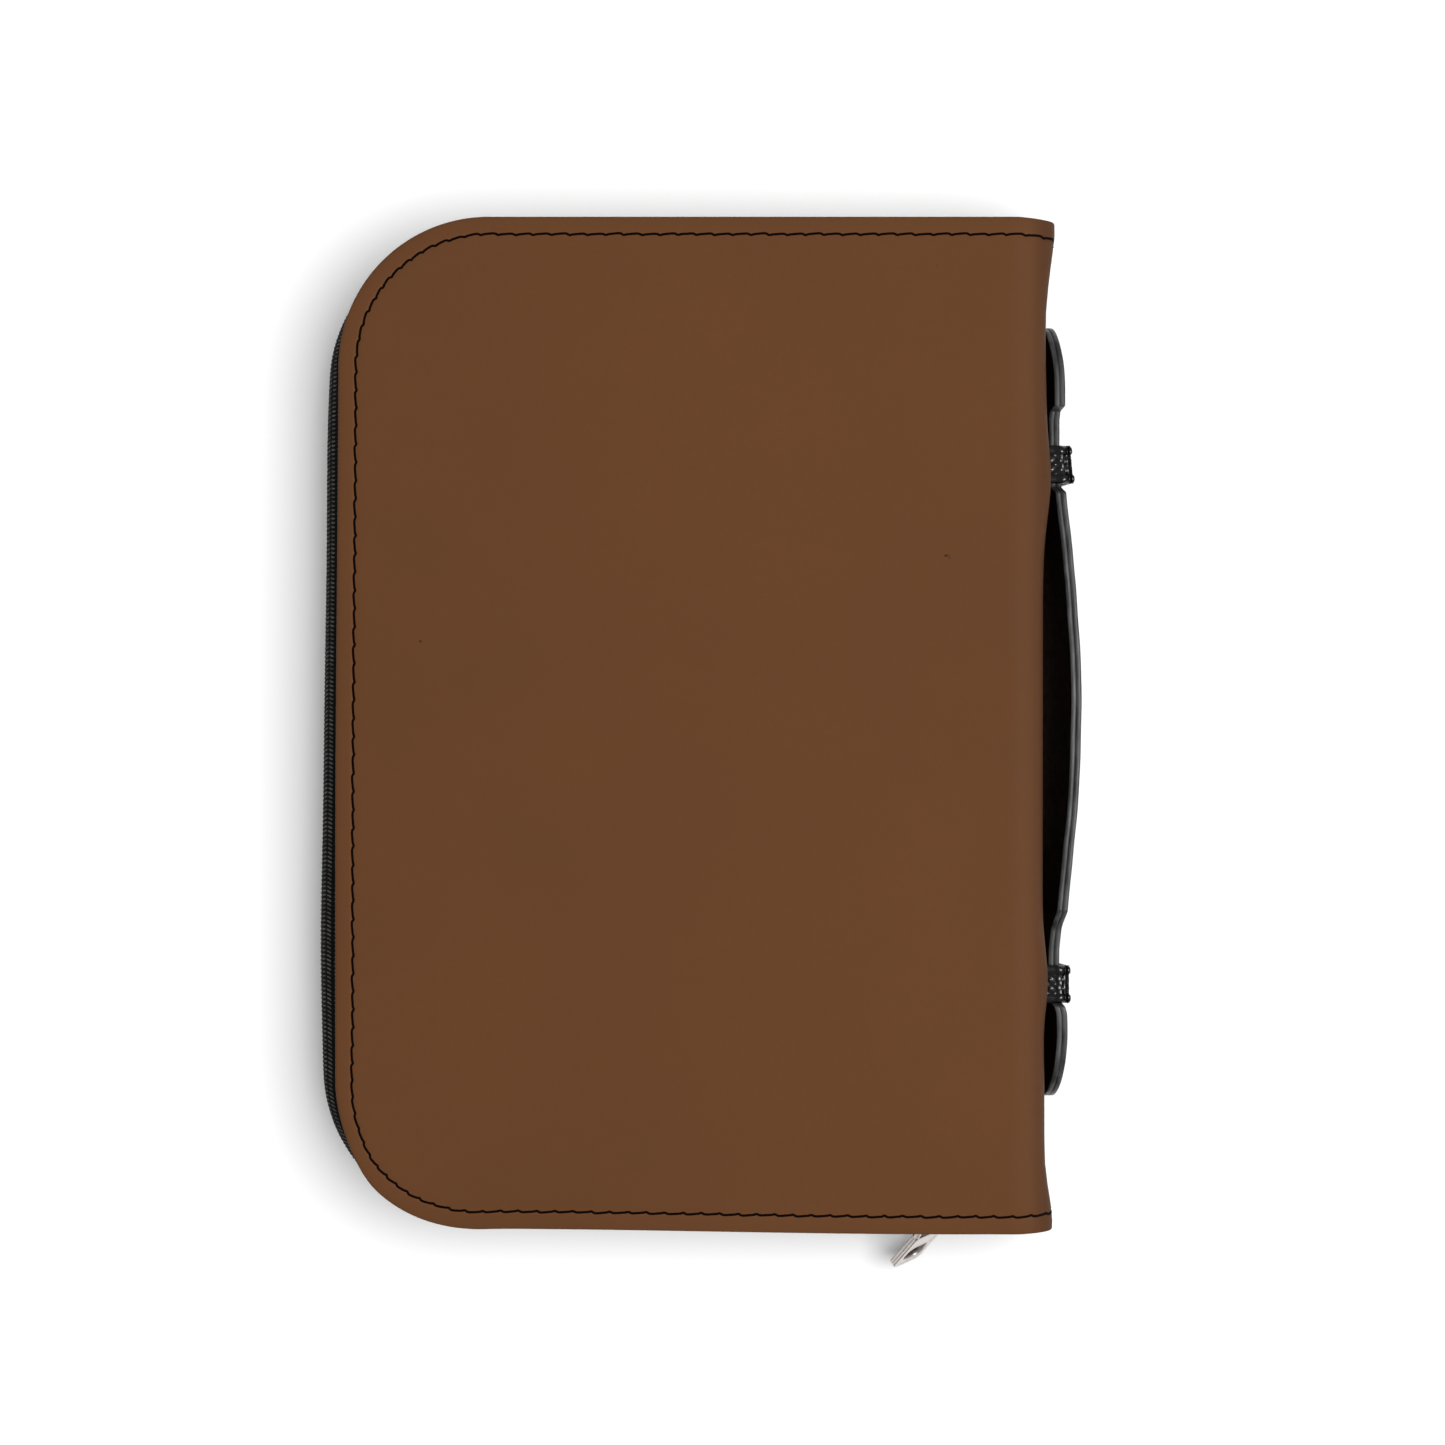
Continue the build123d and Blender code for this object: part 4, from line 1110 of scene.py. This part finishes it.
# ---- The Bible ----------------------------------------------------------------------
BLOCK_LO, BLOCK_HI = box_mm("text_block")
LEAVES_LO, LEAVES_HI = box_mm("front_leaves")
PAGE_CORNER_R = 6.0
GUTTER_X = 62.0


def page_ragged(count, seed):
    """How far each few pages stand in from the block's plain edge, in a fixed random order."""
    return 0.02 + 0.10 * np.random.default_rng(seed).random(count)


def text_block():
    """Sewn leaves: a hollow fore edge, and small steps between the sheets on all three cut edges."""
    z = steps(BLOCK_HI[2], BLOCK_LO[2], 0.36)
    middle, half = (BLOCK_LO[2] + BLOCK_HI[2]) / 2, (BLOCK_HI[2] - BLOCK_LO[2]) / 2
    fore = BLOCK_LO[0] + 0.9 * (1 - ((z - middle) / half) ** 2)
    rings = [level(panel_ring(x0, BLOCK_HI[0], BLOCK_HI[1], PAGE_CORNER_R, inset, 24), height)
             for x0, height, inset in zip(fore, z, page_ragged(len(z), 11))]
    piece = tube_of(rings, 1, 0).build("text_block_leaves", PAPER, PAGE_EDGE, weld=0, crisp=50)
    place(piece, "spine", "bible_paper", "text_block")


def turned_leaves():
    """The first leaves, which turn over with the front cover in the book: here a flat stack with ragged cut
    edges, stepped finer towards the gutter.
    """
    x0, x1, corner_x = LEAVES_LO[0], LEAVES_HI[0], LEAVES_LO[0] + PAGE_CORNER_R
    x = np.concatenate([steps(x0, corner_x, 0.5)[:-1], steps(corner_x, GUTTER_X, 6)[:-1],
                        steps(GUTTER_X, x1, 0.8)])[:, None]
    z = steps(LEAVES_LO[2], LEAVES_HI[2], 0.3)
    ragged = page_ragged(len(z), 23)
    across = np.linspace(-1, 1, 15)[1:-1]
    drop = np.clip(corner_x - x, 0, None)
    half = LEAVES_HI[1] - PAGE_CORNER_R + np.sqrt(np.clip(PAGE_CORNER_R ** 2 - drop ** 2, 0.04, None))
    y = np.concatenate([half - ragged, half * across[::-1], ragged[::-1] - half, half * across], 1)
    height = np.concatenate([z, 0 * across + z[-1], z[::-1], 0 * across + z[0]])
    cut = np.repeat([True, False, True, False], [len(z) - 1, len(across) + 1] * 2)
    shape = Shape()
    shape.banded_tube(np.stack(np.broadcast_arrays(x, y, height), -1), cut)
    piece = shape.build("first_leaves", PAPER, PAGE_EDGE, weld=0, crisp=50)
    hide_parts("front_leaves")
    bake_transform(piece)


def book_board(side, turn, body):
    """Leather over board, with its endpaper pasted inside."""
    frame_line = [(9.0, 0), (8.6, -0.12), (8.0, -0.12), (7.6, 0)]
    for node, name, finish, slot, edge_r, line, crisp in (
            (f"book_{side}_board", f"bible_board_{side}", BOOK, "book_leather", 0.55, frame_line, 60),
            (f"{side}_endpaper", f"bible_endpaper_{side}", ENDPAPER, "endpaper", 0.1, [], 0)):
        low, high = box_mm(node.replace("back", "front"))
        groove = [(inset, high[2] + depth) for inset, depth in line]
        edge = soft_edge(low[2], high[2], edge_r)
        plate = slab(lambda inset: panel_ring(low[0], high[0], high[1], PAGE_CORNER_R, inset, 20),
                     groove + edge[1 if line else 0:], turn)
        place(plate.build(name, finish, crisp=crisp), body, slot, node)


def book_spine():
    """Rounded leather spine with raised bands."""
    low, high = box_mm("book_spine")
    y = steps(low[1], high[1], 1.0)[:, None]
    angle = np.linspace(-1, 1, 25)[None, :]
    bands = sum(bump(y - spot, 1.5) for spot in np.linspace(-78, 78, 5))
    near_end = smooth((high[1] - abs(y)) / 1.2)
    crown = (1 - np.abs(angle) ** 2.6) * (0.55 + 0.7 * bands) * (0.4 + 0.6 * near_end)
    x = np.concatenate([high[0] - 1.25 + crown, low[0] + 0.25 * (1 - angle ** 2) + 0 * y], 1)
    z = MID + np.concatenate([angle, angle[:, ::-1]], 1) * (high[2] - MID - 0.4) + 0 * y
    piece = tube_of(np.stack([x, y + 0 * x, z], -1)).build("bible_spine", BOOK, weld=0, crisp=60)
    place(piece, "spine", "book_leather", "book_spine")


def headbands():
    """Rolls of silk sewn over the head and foot of the spine, in wound threads."""
    for name, node in (("headband_silk_top", "headband_top"), ("headband_silk_bottom", "headband_bottom")):
        low, high = box_mm(node)
        side = 1 if low[1] > 0 else -1
        middle_x, radius = (low[0] + high[0]) / 2, (high[0] - low[0]) / 2
        z = steps(low[2] + 0.2, high[2] - 0.2, 0.16)
        swell = 0.78 + 0.1 * np.abs(np.sin(math.pi * z / 0.9))
        line = np.stack([0 * z + middle_x, 0 * z + side * (BLOCK_HI[1] + 0.18), z], -1)
        roll = thread(line, np.array([[1, 0, 0]]), np.array([[0, 1, 0]]), radius * swell, 14)
        place(tube_of(roll).build(name, SILK, weld=0), "spine", "headband_silk", node)


def joint_strip(side, turn):
    """The groove of leather that joins a board to the spine."""
    low, high = box_mm("book_front_joint")
    y = steps(low[1] + 0.5, high[1] - 0.5, 6)[:, None]
    share = np.concatenate([np.linspace(0, 1, 9), np.linspace(1, 0, 9)])
    face = np.repeat([high[2] - 0.12, low[2] + 0.36], 9)
    x = low[0] + share * (high[0] - low[0])
    z = face - 0.34 * np.sin(math.pi * share)
    strip = tube_of(turn(np.stack(np.broadcast_arrays(x, y, z), -1)))
    piece = strip.build(f"bible_joint_{side}", BOOK, weld=0, crisp=60)
    place(piece, "spine", "book_leather", f"book_{side}_joint")


text_block()
turned_leaves()
book_spine()
headbands()
for half, turn_over in HALVES:
    joint_strip(half, turn_over)
    book_board(half, turn_over, f"{half}_cover")


# ---- Slider, bail and pull tab ------------------------------------------------------
SLIDER_LO, SLIDER_HI = box_mm("zip_slider_body")
BAIL_LO, BAIL_HI = box_mm("zip_slider_bail")
SLIDER_X = (SLIDER_LO[0] + SLIDER_HI[0]) / 2
SLIDER_PLATE = 1.4
WIRE_R = 0.65
TAB_PIVOT = np.array([SLIDER_X, SLIDER_LO[1] - 2.2, MID])
TAB_WAY = np.array([-0.399, -0.618, -0.678])
TAB_BAR = np.array([0.7436, 0.2146, -0.6332])
TAB_LENGTH, TAB_WIDTH, TAB_T, TAB_SHIFT = 21.5, 10.5, 2.1, -0.6
EYE_END, EYE_T, EYE_WIDTH = 5.8, 1.2, 8.1
WINDOW_X, WINDOW_HALF_L, WINDOW_HALF_W, WINDOW_R = 15.0, 3.3, 3.6, 2.4


def slider_plate(shape, y_inner, way):
    """One plate of the slider: narrower behind, with a crowned face and a raised rim."""
    half_h, half_l = (SLIDER_HI[2] - SLIDER_LO[2]) / 2, (SLIDER_HI[0] - SLIDER_LO[0]) / 2
    rows = [(2.4, 0.86), (1.5, 0.84), (1.15, 0.86), (0.9, 0.98), (0.5, 1.0), (0.18, 0.93), (0.0, 0.7),
            (0.0, 0.2), (0.15, 0.05), (0.5, 0.0)]
    rings = []
    for inset, share in rows:
        ring = rounded_ring(-half_l, half_l, -half_h, half_h, 2.8, inset, 8, 8)
        ring[:, 1] *= 1 - 0.16 * smooth((-ring[:, 0] + 1) / (half_l + 1))
        y = y_inner + way * share * SLIDER_PLATE
        rings.append(np.stack([SLIDER_X + ring[:, 0], 0 * ring[:, 0] + y, MID + ring[:, 1]], -1))
    shape.tube(np.array(rings))


def block(shape, low, high, radius):
    """Small rounded block between two corners."""
    sections = soft_edge(low[2], high[2], min(radius, (high[2] - low[2]) / 2.2) * 0.9)[1:-1]
    shape.tube(np.array([level(rounded_ring(low[0], high[0], low[1], high[1], radius, inset, 3, 4), z)
                         for inset, z in sections]))


def zip_slider():
    """Slider of two plates joined by a neck, with posts for the wire bail."""
    body = Shape()
    front, rear = SLIDER_LO[1], SLIDER_HI[1]
    slider_plate(body, front + SLIDER_PLATE, -1)
    slider_plate(body, rear - SLIDER_PLATE, 1)
    neck_x = SLIDER_HI[0] - 3.3
    block(body, (neck_x, front + 1.2, MID - 0.5), (neck_x + 2.2, rear - 1.2, MID + 0.5), 0.4)
    left, right = BAIL_LO[0] + WIRE_R, BAIL_HI[0] - WIRE_R
    for x in (left, right):
        block(body, (x - 1.0, front - 0.9, MID - 1.3), (x + 1.0, front + 0.9, MID + 1.3), 0.5)
    place(body.build("zip_slider", NICKEL, weld=0, crisp=50), "zip_slider", "nickel", "zip_slider_body")
    foot, crest = front + 0.4, BAIL_LO[1] + WIRE_R
    path = rounded_path([(left, foot), (left, crest), (right, crest), (right, foot)], (1.8, 1.8), 0.3)
    forward = unit(np.gradient(path, axis=0))
    side = np.stack([-forward[:, 1], forward[:, 0], 0 * forward[:, 0]], -1)
    bail = tube_of(thread(level(path, MID), side, np.array([[0, 0, 1]]), WIRE_R, 14))
    place(bail.build("zip_bail", NICKEL, weld=0), "zip_slider", "nickel", "zip_slider_bail")


def tab_points(ring, height):
    """Points of the tab: along it, across it and out of its face."""
    face = np.cross(TAB_WAY, TAB_BAR)
    across = ring[:, 1] + TAB_SHIFT
    return TAB_PIVOT + ring[:, :1] * TAB_WAY + across[:, None] * TAB_BAR + height * face


def hollow_plate(shape, outer, inner, thick):
    """Plate with a hole: outer(inset) and inner(outset) rings, and a profile of heights between them."""
    profile = [(0.34, 0.03), (0.04, 0.18), (0.0, 0.3), (0.0, 0.66), (0.3, 0.72), (0.3, 0.78), (0.06, 0.84),
               (0.12, 0.95), (0.3, 1.0), (0.9, 1.0), (1.05, 0.86), (1.35, 0.84)]
    hole = [(0.9, 0.86), (0.7, 0.98), (0.3, 0.98), (0.1, 0.85), (0.0, 0.5)]
    upper = [(outer(i), h) for i, h in profile] + [(inner(i), h) for i, h in hole]
    lower = [(ring, -h) for ring, h in upper[::-1]]
    rings = np.array([tab_points(ring, h * thick / 2) for ring, h in upper + lower])
    shape.grid(rings, close_rows=True, close_cols=True)


def pull_tab():
    """Cast tab: a bar that turns in the bail, two arms, and a bordered plate with a window."""
    half, bar, arm = TAB_WIDTH / 2, EYE_T / 2, (TAB_WIDTH - EYE_WIDTH) / 2
    window = (WINDOW_X - WINDOW_HALF_L, WINDOW_X + WINDOW_HALF_L, -WINDOW_HALF_W, WINDOW_HALF_W, WINDOW_R)
    plate = (EYE_END - 0.2, TAB_LENGTH, -half, half, (2.4, 0.6, 0.6, 2.4))
    shape = Shape()
    hollow_plate(shape, lambda inset: rounded_ring(*plate, inset, 12, 8),
                 lambda outset: rounded_ring(*window, -outset, 12, 8), TAB_T)
    rings = []
    for t in circle(16):
        ring = rounded_ring(-bar, EYE_END + 1.2, -half, half, 1.0, arm / 2 * (1 - math.cos(t)), 8, 6)
        thick = bar + (TAB_T / 2 - bar) * smooth((ring[:, :1] - 3.2) / 2.6) * 0.8
        rings.append(tab_points(ring, thick * math.sin(t)))
    shape.grid(np.array(rings), close_rows=True, close_cols=True)
    place(shape.build("pull_tab", NICKEL, weld=0, crisp=50), "pull_tab", "nickel", "zip_pull_tab")


zip_slider()
pull_tab()

# ---- CAD pieces that stay as they are -----------------------------------------------
dress(BOARD, "front_board", "back_board", "spine_board")
dress(STEEL, "upper_loop_backing_plate", "lower_loop_backing_plate")
dress(ENAMEL, "handle_loop_rivets")


# ---- Studio -------------------------------------------------------------------------
FLOOR_HALF, FLOOR_WHITE, SKY_STRENGTH = 4000, 0.84, 0.34
AIM = Vector((0.0, 0.0, 0.03))
CAMERA_SPOT, CAMERA_LENS = (0.0084, 0.0005, 0.845), 76.74


def in_scene(name, data, spot):
    """A light or camera put in the scene at a spot in metres."""
    thing = bpy.data.objects.new(name, data)
    bpy.context.scene.collection.objects.link(thing)
    thing.location = spot
    return thing


def area_light(name, form, size, energy, spot):
    """Area light aimed at the middle of the cover."""
    lamp = bpy.data.lights.new(name, "AREA")
    lamp.shape = form
    lamp.size, lamp.size_y = size
    lamp.energy = energy
    light = in_scene(name, lamp, spot)
    light.rotation_euler = (AIM - light.location).to_track_quat("-Z", "Y").to_euler()
    return light


def make_studio():
    """White table under a broad soft light, seen from straight above."""
    scene = bpy.context.scene
    scene.view_settings.view_transform = "Standard"
    floor = Shape()
    floor.grid([[(x, y, 0) for y in (-FLOOR_HALF, FLOOR_HALF)] for x in (-FLOOR_HALF, FLOOR_HALF)])
    paper = simple("studio_paper", (FLOOR_WHITE, FLOOR_WHITE, FLOOR_WHITE, 1), 0.9, specular=0.1)
    floor.build("studio_floor", paper, flip_check=False)
    scene.world = bpy.data.worlds.new("studio_light")
    scene.world.use_nodes = True
    sky = scene.world.node_tree.nodes["Background"]
    sky.inputs["Color"].default_value = (1, 1, 1, 1)
    sky.inputs["Strength"].default_value = SKY_STRENGTH
    area_light("soft_box", "DISK", (1.0, 0.25), 23, (0.31, 0.0, 1.3)).visible_glossy = False
    area_light("side_strip", "RECTANGLE", (0.12, 0.5), 6, (0.72, 0.0, 0.78)).visible_diffuse = False
    camera = bpy.data.cameras.new("camera")
    camera.sensor_width = 36
    camera.lens = CAMERA_LENS
    scene.camera = in_scene("camera", camera, CAMERA_SPOT)


make_studio()
